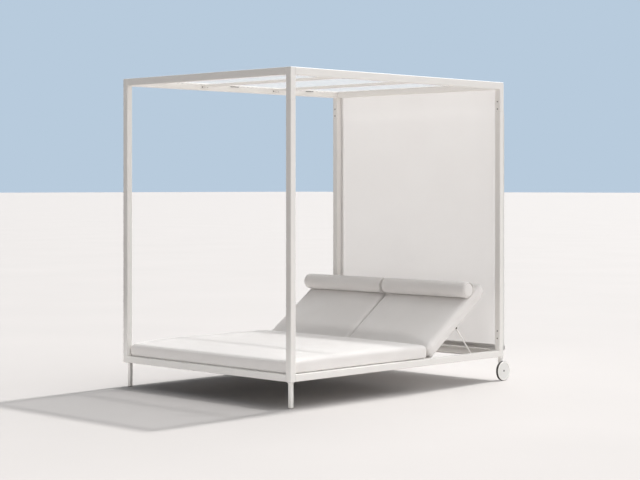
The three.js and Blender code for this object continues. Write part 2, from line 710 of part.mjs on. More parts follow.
// Mattress: one pad over the rails, notched round the foot posts.
function addMattress() {
  const foot = MATTRESS_INSET - LENGTH / 2;
  const head = hingeY - MATTRESS_TO_HINGE;
  const width = WIDTH - 2 * MATTRESS_INSET;
  const form = pad({
    width,
    length: head - foot,
    thickness: MATTRESS_THICKNESS,
    crown: MATTRESS_CROWN,
    corner: MATTRESS_CORNER,
    rimLow: MATTRESS_RIM_LOW,
    rimHigh: MATTRESS_RIM_HIGH,
    drawIn: MATTRESS_DRAW_IN,
  }).translate(0, (foot + head) / 2, RAIL_TOP + DECK_RISE + MATTRESS_LIFT);
  const notches = Object.values(SIDES).map((sx) => {
    const near = sx * (innerX - POST_NOTCH);
    const far = sx * (WIDTH / 2 + OVERRUN);
    return block(
      [Math.min(near, far), -LENGTH / 2 - OVERRUN, 0],
      [Math.max(near, far), POST_NOTCH - innerY, lowerSeam],
    );
  });
  addPiece(daybed, "mattress", cut(form, ...notches), "cover");
}

// Where the bail's pivot and its foot stand when the back is raised by an angle in radians.
const bailPivot = (angle) => [
  hingeY + BAIL_AT * Math.cos(angle) + BAIL_UNDER * Math.sin(angle),
  hingeZ + BAIL_AT * Math.sin(angle) - BAIL_UNDER * Math.cos(angle),
];
const restAngle = radians(BACK_ANGLE);
const footDrop = bailPivot(restAngle)[1] - railUnder - BAIL_FOOT_HEIGHT;
const bailRestAngle = Math.asin(footDrop / BAIL_LENGTH);
const bailPerBack = bailRestAngle / restAngle; // the bail's fall for each degree the back rises

function bailFoot(angle) {
  const [y, z] = bailPivot(angle);
  const fall = bailPerBack * angle;
  return [y + BAIL_LENGTH * Math.cos(fall), z - BAIL_LENGTH * Math.sin(fall)];
}

// The back's angle at which the bail's foot stands over a place on the rack.
function angleOver(y) {
  let [low, high] = [0, restAngle + radians(2 * BACK_MORE_ANGLE)];
  for (let i = 0; i < 2 * ROUND_SIDES; i++) {
    const middle = (low + high) / 2;
    if (bailFoot(middle)[0] > y) low = middle;
    else high = middle;
  }
  return low;
}

// Rack outline: its top edge follows the foot's path just clear of it, notched at each setting.
function rackShape() {
  const under = (y) => bailFoot(Math.max(angleOver(y), 0))[1] - BAIL_ROD / 2 - RUNNING_FIT;
  const first = restAngle + radians(BACK_MORE_ANGLE);
  const from = bailFoot(first)[0] - RACK_LEAD;
  const to = bailFoot(0)[0] + RACK_TAIL;
  const step = radians(BACK_STEP_ANGLE);
  const settings = [];
  for (let angle = restAngle + step; angle > step / 2; angle -= step) settings.push(angle);
  const top = [[from, under(from) - RUNNING_FIT]];
  for (const angle of settings) {
    const y = bailFoot(angle)[0];
    const wall = y + BAIL_ROD / 2 + RUNNING_FIT;
    const floor = under(y) - RACK_NOTCH;
    top.push([y - RACK_RAMP + BAIL_ROD / 2, under(y)], [y - BAIL_ROD / 4, floor], [wall, floor]);
    top.push([wall, under(wall)]);
  }
  top.push([to, under(bailFoot(0)[0])]);
  const outline = [[from, railUnder + SEAT], [to, railUnder + SEAT], ...top.reverse()];
  return new THREE.Shape(outline.map(([y, z]) => new THREE.Vector2(y, z)));
}

// An L-shaped rack: a toothed plate standing on a flange that reaches back to what carries it.
function rackAngle(plateX, backX) {
  const shape = rackShape();
  const ends = shape.getPoints().map((point) => point.x);
  const low = railUnder + SEAT;
  const plate = bar(shape, RACK_PLATE, "x").translate(plateX, 0, 0);
  const flange = block(
    [Math.min(plateX, backX), Math.min(...ends), low],
    [Math.max(plateX, backX), Math.max(...ends), low + RACK_FLANGE],
  );
  return join(plate, flange);
}

function addRacks() {
  const plateX = backOuterX - BACK_BAR / 2 - RACK_FROM_ARM;
  for (const [side, sx] of Object.entries(SIDES)) {
    addPiece(daybed, `rack_${side}`, rackAngle(sx * plateX, sx * (innerX - SEAT)), "coat");
  }
}

// Centre rail: carries the deck, the inner racks and a saddle for the hinge rod.
function addCentreRail() {
  const low = railUnder + SEAT;
  const top = centreRailTop();
  const tube = hollowBar(
    CENTRE_RAIL_WIDTH, top - low, BACK_BAR_ROUND, CENTRE_RAIL_WALL, 2 * innerY - 2 * SEAT, "y",
  ).translate(0, 0, (low + top) / 2);
  const plateX = BAIL_INNER_ARM + RACK_FROM_ARM;
  const root = CENTRE_RAIL_WIDTH / 2 - CENTRE_RAIL_WALL / 2;
  const racks = Object.values(SIDES).map((sx) => rackAngle(sx * plateX, sx * root));
  const saddle = block(
    [-SADDLE / 2, hingeY - HINGE_ROD, top - CENTRE_RAIL_WALL / 2],
    [SADDLE / 2, hingeY + HINGE_ROD, hingeZ],
  );
  const crown = pin(2 * HINGE_ROD, -SADDLE / 2, SADDLE / 2, "x").translate(0, hingeY, hingeZ);
  const belowRail = block([-SADDLE, hingeY - 2 * HINGE_ROD, 0], [SADDLE, hingeY + 2 * HINGE_ROD, low]);
  const bore = pin(HINGE_ROD + 2 * RUNNING_FIT, -SADDLE, SADDLE, "x").translate(0, hingeY, hingeZ);
  addPiece(daybed, "centre_rail", cut(join(tube, ...racks, saddle, crown), bore, belowRail), "coat");
}

function addHingeRod() {
  const reach = innerX + HINGE_GRIP;
  addPiece(daybed, "hinge_rod", pin(HINGE_ROD, -reach, reach, "x"), "steel", 0, hingeY, hingeZ);
}

// Back frame in the back's own axes: X across, Y up the back from the hinge, Z out of its face.
function backFrame() {
  const [inner, outer] = [BACK_SPLIT, backOuterX];
  const middle = (inner + outer) / 2;
  const bars = [inner + BACK_BAR / 2, outer - BACK_BAR / 2].flatMap((x) => [
    solidBar(BACK_BAR, BACK_BAR, BACK_BAR_ROUND, BACK_LENGTH, "y").translate(x, BACK_LENGTH / 2, 0),
    pin(BACK_BAR, x - BACK_BAR / 2, x + BACK_BAR / 2, "x"),
  ]);
  const span = outer - inner - BACK_BAR;
  const pitch = (BACK_LENGTH - BACK_BAR / 2 - BACK_FIRST_BAR) / (BACK_BAR_COUNT - 1);
  const propBar = (BACK_BAR_COUNT - 1) / 2;
  const across = steps(BACK_BAR_COUNT - 1).map((share, i) => {
    const strong = i % propBar === 0;
    const y = i === propBar ? BAIL_AT : BACK_FIRST_BAR + i * pitch;
    if (strong) return solidBar(BACK_BAR, BACK_BAR, BACK_BAR_ROUND, span, "x").translate(middle, y, 0);
    const z = (BACK_BAR - BACK_SLAT_THICKNESS) / 2;
    return solidBar(BACK_SLAT_WIDTH, BACK_SLAT_THICKNESS, BACK_BAR_ROUND, span, "x").translate(middle, y, z);
  });
  const lugs = lugPlaces().flatMap((x) => [
    block(
      [x - LUG_THICKNESS / 2, BAIL_AT - LUG_RADIUS, -BAIL_UNDER],
      [x + LUG_THICKNESS / 2, BAIL_AT + LUG_RADIUS, 0],
    ),
    pin(2 * LUG_RADIUS, x - LUG_THICKNESS / 2, x + LUG_THICKNESS / 2, "x").translate(0, BAIL_AT, -BAIL_UNDER),
  ]);
  const hinge = pin(HINGE_ROD + 2 * RUNNING_FIT, 0, WIDTH, "x");
  const lugBores = lugPlaces().map((x) =>
    pin(BAIL_ROD + 2 * RUNNING_FIT, x - LUG_THICKNESS, x + LUG_THICKNESS, "x")
      .translate(0, BAIL_AT, -BAIL_UNDER),
  );
  return cut(join(...bars, ...across, ...lugs), hinge, ...lugBores);
}

const bailArms = () => [BAIL_INNER_ARM, backOuterX - BACK_BAR / 2];

function lugPlaces() {
  const [inner, outer] = bailArms();
  const away = BAIL_ROD / 2 + LUG_FROM_ARM + LUG_THICKNESS / 2;
  return [inner + away, outer - away];
}

// The centre line of the bent rod: two arms, a foot between them and pins turned in at their tops.
class BailLine extends THREE.Curve {
  constructor() {
    super();
    const [inner, outer] = bailArms();
    const corners = [
      [inner + BAIL_PIN, 0], [inner, 0], [inner, BAIL_LENGTH], [outer, BAIL_LENGTH], [outer, 0],
      [outer - BAIL_PIN, 0],
    ].map(([x, y]) => new THREE.Vector3(x, y, 0));
    this.knots = corners.flatMap((corner, i) => {
      if (i === 0 || i === corners.length - 1) return [corner];
      const back = corners[i - 1].clone().sub(corner).normalize();
      const ahead = corners[i + 1].clone().sub(corner).normalize();
      const radius = i === 1 || i === corners.length - 2 ? BAIL_BEND / 2 : BAIL_BEND;
      const centre = corner.clone().addScaledVector(back, radius).addScaledVector(ahead, radius);
      return steps(BEND_STEPS).map((share) => {
        const turn = (share * Math.PI) / 2;
        return centre.clone()
          .addScaledVector(ahead, -radius * Math.cos(turn))
          .addScaledVector(back, -radius * Math.sin(turn));
      });
    });
  }
  getPoint(t) {
    const place = t * (this.knots.length - 1);
    const from = Math.min(Math.floor(place), this.knots.length - 2);
    return this.knots[from].clone().lerp(this.knots[from + 1], place - from);
  }
  getPointAt(u) {
    return this.getPoint(u);
  }
  getTangentAt(u) {
    return this.getTangent(u);
  }
  getSpacedPoints(divisions) {
    return this.getPoints(divisions);
  }
}

function propBail() {
  const line = new BailLine();
  const section = new THREE.Shape().absarc(0, 0, BAIL_ROD / 2, 0, 2 * Math.PI);
  return new THREE.ExtrudeGeometry(section, {
    steps: line.knots.length - 1,
    extrudePath: line,
    curveSegments: BEND_STEPS,
  });
}

function backPad() {
  const width = backOuterX + PAD_OVERHANG - PAD_SPLIT;
  return pad({
    width,
    length: PAD_LENGTH,
    thickness: PAD_THICKNESS,
    crown: PAD_CROWN,
    corner: PAD_CORNER,
    rimLow: PAD_RIM_LOW,
    rimHigh: PAD_RIM_HIGH,
    drawIn: PAD_DRAW_IN,
  }).translate(PAD_SPLIT + width / 2, PAD_LENGTH / 2, BACK_BAR / 2 + SEAT);
}

// Bolster: a round roll with domed, seamed ends, pressed flat where it lies on the pad.
function bolster() {
  const from = PAD_SPLIT + BOLSTER_INSET;
  const to = backOuterX + PAD_OVERHANG - BOLSTER_INSET;
  const r = BOLSTER_RADIUS;
  const half = (to - from) / 2;
  const capShares = [[0, 0], [0.45, 0.12], [0.78, 0.5], [0.93, 1]];
  const cap = capShares.map(([across, along]) => [across * r, along * BOLSTER_DOME - half]);
  const seam = [
    [r - BOLSTER_SEAM, BOLSTER_DOME + BOLSTER_SEAM - half],
    [r, BOLSTER_DOME + 4 * BOLSTER_SEAM - half],
  ];
  const start = [...cap, ...seam];
  const finish = start.map(([across, along]) => [across, -along]).reverse();
  const y = PAD_LENGTH - BOLSTER_FROM_TOP;
  const flat = Math.sqrt(r ** 2 - (r - BOLSTER_SINK) ** 2);
  const nearShare = (y - flat - PAD_LENGTH / 2) / (PAD_LENGTH / 2 - PAD_RIM_HIGH);
  const face = padFace + PAD_CROWN * (1 - nearShare ** 2) + SEAT;
  const roll = turned([...start, ...finish], ROUND_SIDES)
    .rotateZ(-Math.PI / 2)
    .translate((from + to) / 2, y, face + r - BOLSTER_SINK);
  return cut(roll, block([0, y - 2 * r, 0], [WIDTH, y + 2 * r, face]));
}

// The left half of a mirrored pair, with its faces turned the right way out again.
function mirrored(geometry) {
  const made = geometry.clone().scale(-1, 1, 1);
  const order = made.index ? made.index.array : Array.from({ length: made.attributes.position.count }, (_, i) => i);
  const faces = [];
  for (let i = 0; i < order.length; i += 3) faces.push(order[i], order[i + 2], order[i + 1]);
  made.setIndex(faces);
  made.computeVertexNormals();
  return made;
}

function addBacks() {
  for (const [side, sx] of Object.entries(SIDES)) {
    const handed = (geometry) => (sx > 0 ? geometry : mirrored(geometry));
    const back = new THREE.Group();
    back.position.set(0, hingeY, hingeZ);
    back.rotation.x = restAngle;
    daybed.add(back);
    addPiece(back, `back_frame_${side}`, handed(backFrame()), "coat");
    addPiece(back, `back_pad_${side}`, handed(backPad()), "cover");
    addPiece(back, `bolster_${side}`, handed(bolster()), "cover");
    const bail = addPiece(back, `prop_bail_${side}`, handed(propBail()), "coat", 0, BAIL_AT, -BAIL_UNDER);
    bail.rotation.x = -restAngle - bailRestAngle;
  }
}

addBaseRails();
addUprights();
addTopRails();
addFootLegs();
addWheels();
addRoof();
addBackPanel();
addSeatDeck();
addMattress();
addRacks();
addCentreRail();
addHingeRod();
addBacks();

// The origin lies on the floor, half way between the foot rail and the far edge of the wheels.
daybed.position.y = (LENGTH / 2 - axleY - WHEEL_RADIUS) / 2;

export default daybed;
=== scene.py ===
# %% [markdown]
# # An outdoor daybed under a canopy
# The real object is a square-tube frame with a powder coat, a mattress on a slatted deck, two backs that
# recline on bent props, a cloth roof, a cloth back panel and two wheels. The solids come from the frame file.
# This script dresses them: rounder tubes, welds, screws, sewn cushions, cloth and finishes.

# %% Load the frame
import json
import math

import bmesh
import bpy
from mathutils import Matrix, Vector, kdtree, noise


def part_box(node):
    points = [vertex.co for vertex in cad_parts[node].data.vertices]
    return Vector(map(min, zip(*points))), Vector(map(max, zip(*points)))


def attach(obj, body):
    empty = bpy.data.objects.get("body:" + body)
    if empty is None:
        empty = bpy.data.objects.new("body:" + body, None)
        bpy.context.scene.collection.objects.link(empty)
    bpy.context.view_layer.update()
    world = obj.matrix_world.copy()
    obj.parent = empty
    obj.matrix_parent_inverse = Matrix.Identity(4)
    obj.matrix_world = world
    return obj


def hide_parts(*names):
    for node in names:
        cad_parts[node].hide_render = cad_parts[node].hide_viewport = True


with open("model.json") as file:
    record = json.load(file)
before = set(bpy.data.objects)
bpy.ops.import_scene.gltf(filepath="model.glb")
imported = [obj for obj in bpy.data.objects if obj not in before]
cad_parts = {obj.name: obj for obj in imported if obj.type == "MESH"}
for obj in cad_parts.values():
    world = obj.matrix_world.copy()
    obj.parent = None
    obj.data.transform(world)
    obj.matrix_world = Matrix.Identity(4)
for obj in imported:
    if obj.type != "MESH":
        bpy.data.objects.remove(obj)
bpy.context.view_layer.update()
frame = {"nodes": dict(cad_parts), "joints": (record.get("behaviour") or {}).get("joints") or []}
MM = 0.001
SIDES = {"left": -1, "right": 1}
ENDS = {"foot": -1, "head": 1}

# %% [markdown]
# ## The view
# A level camera keeps upright posts upright, as an architect's camera does. The horizon then has to be put
# above the middle of the picture by shifting the lens, not by tilting it.

# %% Camera
camera = bpy.data.objects.new("camera", bpy.data.cameras.new("camera"))
bpy.context.scene.collection.objects.link(camera)
camera.location = (7.940, -8.0995, 1.3975)
camera.rotation_euler = (math.radians(90), 0, math.radians(44.38))
camera.data.lens = 89.6
camera.data.sensor_width = 36
camera.data.shift_y = -0.0835
bpy.context.scene.camera = camera
print("camera at", tuple(camera.location))

# %% [markdown]
# ## Shader maths as sums
# Nodes are easier to read as expressions. Wire wraps one socket, so that `1 - mask * 0.3` adds the Math nodes
# it needs, and Paint makes every other node with one method.


# %% Shader helpers
class Wire:
    """One output socket that can be used in a sum."""

    def __init__(self, paint, socket):
        self.paint = paint
        self.socket = socket

    def maths(self, operation, *values):
        return self.paint.node("ShaderNodeMath", {"operation": operation}, *values)

    def __add__(self, other):
        return self.maths("ADD", self, other)

    def __mul__(self, other):
        return self.maths("MULTIPLY", self, other)

    def __sub__(self, other):
        return self.maths("SUBTRACT", self, other)

    def __rsub__(self, other):
        return self.maths("SUBTRACT", other, self)

    def __pow__(self, other):
        return self.maths("POWER", self, other)

    __radd__ = __add__
    __rmul__ = __mul__

    def sine(self):
        return self.maths("SINE", self)

    def size(self):
        return self.maths("ABSOLUTE", self)


class Nodes:
    """A node tree whose nodes are made and fed in one call."""

    def __init__(self, tree):
        self.tree = tree

    def node(self, kind, settings, *values, out=0, **named):
        made = self.tree.nodes.new(kind)
        for key, value in settings.items():
            setattr(made, key, value)
        for key, value in [*enumerate(values), *named.items()]:
            if value is not None:
                self.feed(value, made.inputs[key])
        return Wire(self, made.outputs[out])

    def feed(self, value, socket):
        if isinstance(value, Wire):
            self.tree.links.new(value.socket, socket)
        else:
            socket.default_value = value


class Paint(Nodes):
    """A material under construction."""

    def __init__(self, name):
        self.material = bpy.data.materials.new(name)
        self.material.use_nodes = True
        super().__init__(self.material.node_tree)
        self.shader = self.tree.nodes["Principled BSDF"]
        self.place = self.node("ShaderNodeTexCoord", {}, out=3)
        self.facing = self.node("ShaderNodeTexCoord", {}, out=1)

    def split(self, vector):
        return [self.node("ShaderNodeSeparateXYZ", {}, vector, out=i) for i in range(3)]

    def noise(self, size, detail=2, place=None):
        """Noise whose blotches are about one size across."""
        return self.node("ShaderNodeTexNoise", {}, Vector=place or self.place, Scale=1 / size, Detail=detail)

    def step(self, value, low, high):
        return self.node("ShaderNodeMapRange", {"interpolation_type": "SMOOTHSTEP"}, value, low, high)

    def mix(self, share, first, second):
        """A blend of two colours, whose sockets are the node's seventh and eighth."""
        return self.node("ShaderNodeMix", {"data_type": "RGBA"}, share, *[None] * 5, first, second, out=2)

    def finish(self, colour, roughness, height=None, depth=0.2 * MM, **constants):
        """Sets the shader: what varies goes to colour, roughness and bump, the rest is constant."""
        self.feed(colour, self.shader.inputs["Base Color"])
        self.feed(roughness, self.shader.inputs["Roughness"])
        if height is not None:
            bump = self.node("ShaderNodeBump", {}, Height=height, Distance=depth, Strength=1.0)
            self.feed(bump, self.shader.inputs["Normal"])
        for key, value in constants.items():
            self.feed(value, self.shader.inputs[key.replace("_", " ")])
        return self.material


def tone(red, green, blue):
    """A colour as a screen shows it, from 0 to 255, in the linear values that shaders use."""
    linear = [((c / 255 + 0.055) / 1.055) ** 2.4 if c > 10 else c / 255 / 12.92 for c in (red, green, blue)]
    return (*linear, 1)


print("shader helpers ready")

# %% [markdown]
# ## Powder coat and other hard finishes
# Powder melts into a thick skin with a faint orange peel, about a millimetre from dip to dip. Low down the
# coat turns darker, browner and rougher in blotches. The screws are dark oxide steel, the tyres plain rubber with a
# dry bloom.


# %% Hard finishes
def powder_coat():
    paint = Paint("powder_coat")
    height = paint.split(paint.place)[2]
    peel = paint.noise(1.1 * MM, detail=2)
    cloud = paint.noise(0.35, detail=3)
    # The coat turns darker, browner and rougher in blotches in its lowest nine centimetres.
    darker_low_down = (1 - paint.step(height, 0.0, 0.09)) * paint.noise(6 * MM, detail=4)
    clean = paint.mix(cloud, tone(241, 238, 234), tone(245, 242, 238))
    colour = paint.mix(darker_low_down * 0.5, clean, tone(205, 197, 185))
    return paint.finish(colour, 0.36 + peel * 0.1 + darker_low_down * 0.3, peel, 0.05 * MM, Specular_IOR_Level=0.45)


def grained(name, size, detail, dark, bright, roughness, spread, depth, fine=None, **constants):
    """Two tones mixed by a grain that also roughens the finish; fine is a noise for the bump alone."""
    paint = Paint(name)
    grain = paint.noise(size, detail)
    colour = paint.mix(grain, tone(*dark), tone(*bright))
    bumps = paint.noise(*fine) if fine else grain
    return paint.finish(colour, roughness + grain * spread, bumps, depth, **constants)


def wheel_plastic():
    """Moulded in one shot, with the dished recess coloured greyer than the rim round it."""
    paint = Paint("wheel_plastic")
    x, y, z = paint.split(paint.place)
    radius = (y * y + z * z) ** 0.5
    # Lighter on the rim, greyer in the recess inside 55.5 mm.
    rim = paint.step(radius, 55.5 * MM, 57.5 * MM)
    grain = paint.noise(0.9 * MM, detail=2)
    colour = paint.mix(rim, tone(236, 235, 232), tone(244, 242, 238))
    return paint.finish(colour, 0.42 + grain * 0.12, grain, 0.03 * MM)


coat = powder_coat()
steel = grained("dark_steel", 0.7 * MM, 3, (58, 55, 53), (88, 84, 80), 0.32, 0.2, 0.02 * MM, Metallic=0.75)
zinc = grained("zinc_rod", 2.2 * MM, 4, (150, 149, 146), (196, 194, 190), 0.3, 0.25, 0.02 * MM, Metallic=0.9)
rubber = grained("tyre_rubber", 9 * MM, 5, (52, 50, 49), (86, 83, 80), 0.7, 0.25, 0.08 * MM, (0.8 * MM, 3))
plastic = wheel_plastic()
glide = grained("glide_plastic", 3 * MM, 5, (128, 125, 120), (166, 162, 155), 0.55, 0.3, 0.1 * MM)
print("hard finishes:", [m.name for m in (coat, steel, zinc, rubber, plastic, glide)])

# %% [markdown]
# ## Cloth finishes
# All the cloth is outdoor weave. Its threads cross on whichever plane the cloth faces, so the pattern is worked
# out on three planes and weighed by the normal. Each cloth has its own thread, colour and soft unevenness.


# %% Cloth finishes
def weave_height(paint, pitch):
    """Plain weave on three planes, weighed by which way the cloth faces."""
    x, y, z = [axis * (math.tau / pitch) for axis in paint.split(paint.place)]
    weights = [side * side for side in paint.split(paint.facing)]
    planes = [y.sine() * z.sine(), z.sine() * x.sine(), x.sine() * y.sine()]
    total = weights[0] * planes[0] + weights[1] * planes[1] + weights[2] * planes[2]
    return total * 0.5 + 0.5


def cushion_cloth():
    paint = Paint("cushion_cloth")
    threads = weave_height(paint, 1.3 * MM)
    slub = paint.noise(7 * MM, detail=3)
    cloud = paint.noise(0.22, detail=3)
    colour = paint.mix(cloud, tone(239, 235, 232), tone(244, 241, 239))
    colour = paint.mix(threads * 0.22, colour, tone(214, 210, 204))
    return paint.finish(colour, 0.82 + slub * 0.12, threads + slub * 0.6, 0.16 * MM,
                        Sheen_Weight=0.12, Specular_IOR_Level=0.3)


def seam_thread():
    paint = Paint("seam_thread")
    twist = paint.noise(1.5 * MM, detail=2)
    return paint.finish(paint.mix(twist, tone(150, 145, 139), tone(184, 179, 172)), 0.8, twist, 0.1 * MM)


def thin_cloth(name, shade, bright, pitch, glow, gaps):
    """Cloth that passes light: its threads glow by one fixed share, and its gaps are open by another."""
    paint = Paint(name)
    threads = weave_height(paint, pitch)
    cloud = paint.noise(0.3, detail=3)
    slub = paint.noise(5 * MM, detail=3)
    colour = paint.mix(threads * 0.15 + cloud * 0.5, bright, shade)
    material = paint.finish(colour, 0.85 + slub * 0.1, threads + slub * 0.5, 0.1 * MM, Specular_IOR_Level=0.25)
    through = paint.node("ShaderNodeBsdfTranslucent", {}, colour)
    output = paint.tree.nodes["Material Output"]
    threads_lit = paint.node("ShaderNodeMixShader", {}, glow, Wire(paint, paint.shader.outputs[0]), through)
    open_weave = paint.node("ShaderNodeMixShader", {}, gaps, threads_lit, paint.node("ShaderNodeBsdfTransparent", {}))
    paint.feed(open_weave, output.inputs["Surface"])
    return material


cover = cushion_cloth()
thread = seam_thread()
roof_cloth = thin_cloth("roof_cloth", tone(228, 226, 223), tone(238, 237, 235), 1.6 * MM, 0.45, 0.62)
panel_cloth = thin_cloth("panel_cloth", tone(234, 232, 231), tone(241, 240, 239), 1.8 * MM, 0.62, 0.02)
print("cloth finishes:", [m.name for m in (cover, thread, roof_cloth, panel_cloth)])

# %% [markdown]
# ## Mesh helpers
# Most hard pieces here are rings of points joined in a row: a section that is moved, shrunk and turned along
# an axis. One function makes the section, one places it and one joins the rings, so that each piece is short.


# %% Rings and pieces
def mesh_piece(name, verts, faces, crease=32):
    """A new object from points and faces, smooth except at edges sharper than the crease angle.

    The weighted normals keep large flat faces flat, so that only the rounded edges shade off."""
    mesh = bpy.data.meshes.new(name)
    mesh.from_pydata([tuple(v) for v in verts], [], faces)
    work = bmesh.new()
    work.from_mesh(mesh)
    bmesh.ops.recalc_face_normals(work, faces=work.faces)
    work.to_mesh(mesh)
    work.free()
    mesh.shade_smooth()
    mesh.set_sharp_from_angle(angle=math.radians(crease))
    piece = bpy.data.objects.new(name, mesh)
    bpy.context.scene.collection.objects.link(piece)
    piece.modifiers.new("flat_faces", "WEIGHTED_NORMAL").keep_sharp = True
    return piece


SLOTS = {"powder_coat": "coat", "dark_steel": "screw_steel", "tyre_rubber": "tyre_rubber",
         "wheel_plastic": "wheel_plastic", "glide_plastic": "glide_plastic", "cushion_cloth": "cushion_fabric",
         "seam_thread": "cushion_fabric", "roof_cloth": "roof_fabric", "panel_cloth": "panel_fabric"}


def dress(piece, material, body, *nodes):
    """Gives the piece its finish and the body it rides on, and hides the solids it stands for."""
    piece.data.materials.append(material)
    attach(piece, body)
    SLOTS[material.name.split(".")[0]]
    if nodes:
        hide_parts(*nodes)
    return piece


def ring_faces(rows, count, closed_rows=False, first=0):
    """Quads between rows of equal rings, with end faces unless the last row meets the first."""
    faces = []
    for row in range(rows if closed_rows else rows - 1):
        a = first + row * count
        b = first + ((row + 1) % rows) * count
        faces += [(a + i, a + (i + 1) % count, b + (i + 1) % count, b + i) for i in range(count)]
    if not closed_rows:
        faces.append(tuple(first + i for i in reversed(range(count))))
        faces.append(tuple(first + (rows - 1) * count + i for i in range(count)))
    return faces


class Build:
    """Points and faces of one piece, gathered ring by ring."""

    def __init__(self):
        self.verts = []
        self.faces = []

    def add(self, rings, closed_rows=False):
        count = len(rings[0])
        self.faces += ring_faces(len(rings), count, closed_rows, len(self.verts))
        self.verts += [point for ring in rings for point in ring]
        return self

    def piece(self, name, crease=32):
        return mesh_piece(name, self.verts, self.faces, crease)


def quarter(steps):
    """Angles from 0 to a quarter turn, both included."""
    return [math.pi / 2 * i / steps for i in range(steps + 1)]


def whole(steps):
    """Angles once round, without the last, which is the first again."""
    return [math.tau * i / steps for i in range(steps)]


def section(width, height, radius, arc=4):
    """A rectangle with rounded corners, anticlockwise."""
    points = []
    for quarter, (sx, sy) in enumerate([(1, 1), (-1, 1), (-1, -1), (1, -1)]):
        for i in range(arc + 1):
            angle = (quarter + i / arc) * math.pi / 2
            across = sx * (width / 2 - radius) + radius * math.cos(angle)
            points.append((across, sy * (height / 2 - radius) + radius * math.sin(angle)))
    return points


PLACES = {"x": (1, 2, 0), "y": (2, 0, 1), "z": (0, 1, 2)}


def placed(u, v, w, axis):
    """A point from two section values and one along the axis."""
    point = [0, 0, 0]
    for value, slot in zip((u, v, w), PLACES[axis]):
        point[slot] = value
    return Vector(point)


def ring(shape, axis, along, centre=Vector()):
    """A flat outline set across an axis, at a place along it."""
    return [centre + placed(u, v, along, axis) for u, v in shape]


def circle(radius, count, axis, along, centre=Vector()):
    return ring([(radius * math.cos(t), radius * math.sin(t)) for t in whole(count)], axis, along, centre)


def boxed(node):
    """The two corners and the middle of a solid's box."""
    low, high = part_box(node)
    return low, high, (low + high) / 2


print("mesh helpers ready")

# %% [markdown]
# ## Square tubes
# Real square tube has a rounded corner and a thin broken edge where it is cut. Those two details catch the
# light along every post, so each straight tube gets them, at the size and place of its solid.

# %% Tubes of the base, the posts and the top
TUBE_CORNER = 4 * MM
TUBE_WALL = 2.5 * MM
CUT_EDGE = 0.6 * MM
CAP_ROUND = 3 * MM


def tube_rings(node, axis, capped=""):
    """Rings of a straight tube: a broken edge at an open end, a rounded lid at a capped one."""
    low, high, middle = boxed(node)
    iu, iv, iw = PLACES[axis]
    size = high - low
    half = size[iw] / 2
    open_end = [(half - CUT_EDGE, 0), (half, CUT_EDGE), (half, TUBE_WALL)]
    lid = [(half - CAP_ROUND * (1 - math.sin(t)), CAP_ROUND * (1 - math.cos(t))) for t in quarter(4)]
    top = lid if capped == "high" else open_end
    bottom = [(-along, inset) for along, inset in (lid if capped == "low" else open_end)]
    rings = []
    for along, inset in [*reversed(bottom), *top]:
        shape = section(size[iu] - 2 * inset, size[iv] - 2 * inset, max(TUBE_CORNER - inset, CUT_EDGE))
        rings.append(ring(shape, axis, along, middle))
    return rings


def add_tube(node, axis, capped=""):
    piece = Build().add(tube_rings(node, axis, capped), closed_rows=not capped).piece("tube_" + node)
    return dress(piece, coat, "frame", node)


RAILS = [(f"{level}_rail_{place}", axis) for level in ("base", "top")
         for place, axis in (("foot", "x"), ("head", "x"), ("left", "y"), ("right", "y"))]
CORNERS = [f"{end}_{side}" for end in ENDS for side in SIDES]
tubes = [add_tube(rail, axis) for rail, axis in RAILS]
for corner in CORNERS:
    tubes += [add_tube(f"post_{corner}", "z"), add_tube(f"base_corner_{corner}", "z", "low"),
              add_tube(f"top_corner_{corner}", "z", "high")]
print("tubes:", len(tubes))

# %% [markdown]
# ## Welds
# The rails are welded to the corners all round. A weld bead is a row of overlapping scales, so its thickness
# rises and falls every few millimetres along the joint.

# %% Weld beads
BEAD = 1.1 * MM
BEAD_PITCH = 3.2 * MM


def resampled(points, pitch):
    """A closed outline cut into even steps."""
    even = []
    for i, start in enumerate(points):
        stop = points[(i + 1) % len(points)]
        gap = math.dist(start, stop)
        count = max(1, round(gap / pitch))
        even += [(start[0] + (stop[0] - start[0]) * k / count, start[1] + (stop[1] - start[1]) * k / count)
                 for k in range(count)]
    return even


def bead_rings(node, axis, sign):
    """A rippled bead round one end of a rail."""
    low, high, middle = boxed(node)
    iu, iv, iw = PLACES[axis]
    size = high - low
    outline = resampled(section(size[iu], size[iv], TUBE_CORNER), BEAD_PITCH / 3)
    rings = []
    for i, (u, v) in enumerate(outline):
        before, after = outline[i - 1], outline[(i + 1) % len(outline)]
        out = Vector((after[1] - before[1], before[0] - after[0])).normalized()
        thick = BEAD * (0.85 + 0.15 * math.sin(math.tau * i / 3))
        bead = []
        for turn in whole(6):
            spread = thick * math.cos(turn)
            along = sign * size[iw] / 2 + 1.3 * thick * math.sin(turn)
            bead.append(middle + placed(u + out.x * spread, v + out.y * spread, along, axis))
        rings.append(bead)
    return rings


for level in ("base", "top"):
    welds = Build()
    for rail, axis in RAILS:
        if rail.startswith(level):
            for sign in (-1, 1):
                welds.add(bead_rings(rail, axis, sign), closed_rows=True)
    dress(welds.piece(f"welds_{level}", crease=60), coat, "frame")

# %% [markdown]
# ## Sleeves and screws
# Each post slides over a sleeve inside the corner tube, and two button-head screws hold it. The heads are the
# only dark dots on the posts, so they get their dome and their hexagon socket.

# %% Screws and sleeves
SCREW_HEAD = 4.6 * MM
SCREW_RISE = 2.3 * MM
SOCKET = 2.1 * MM


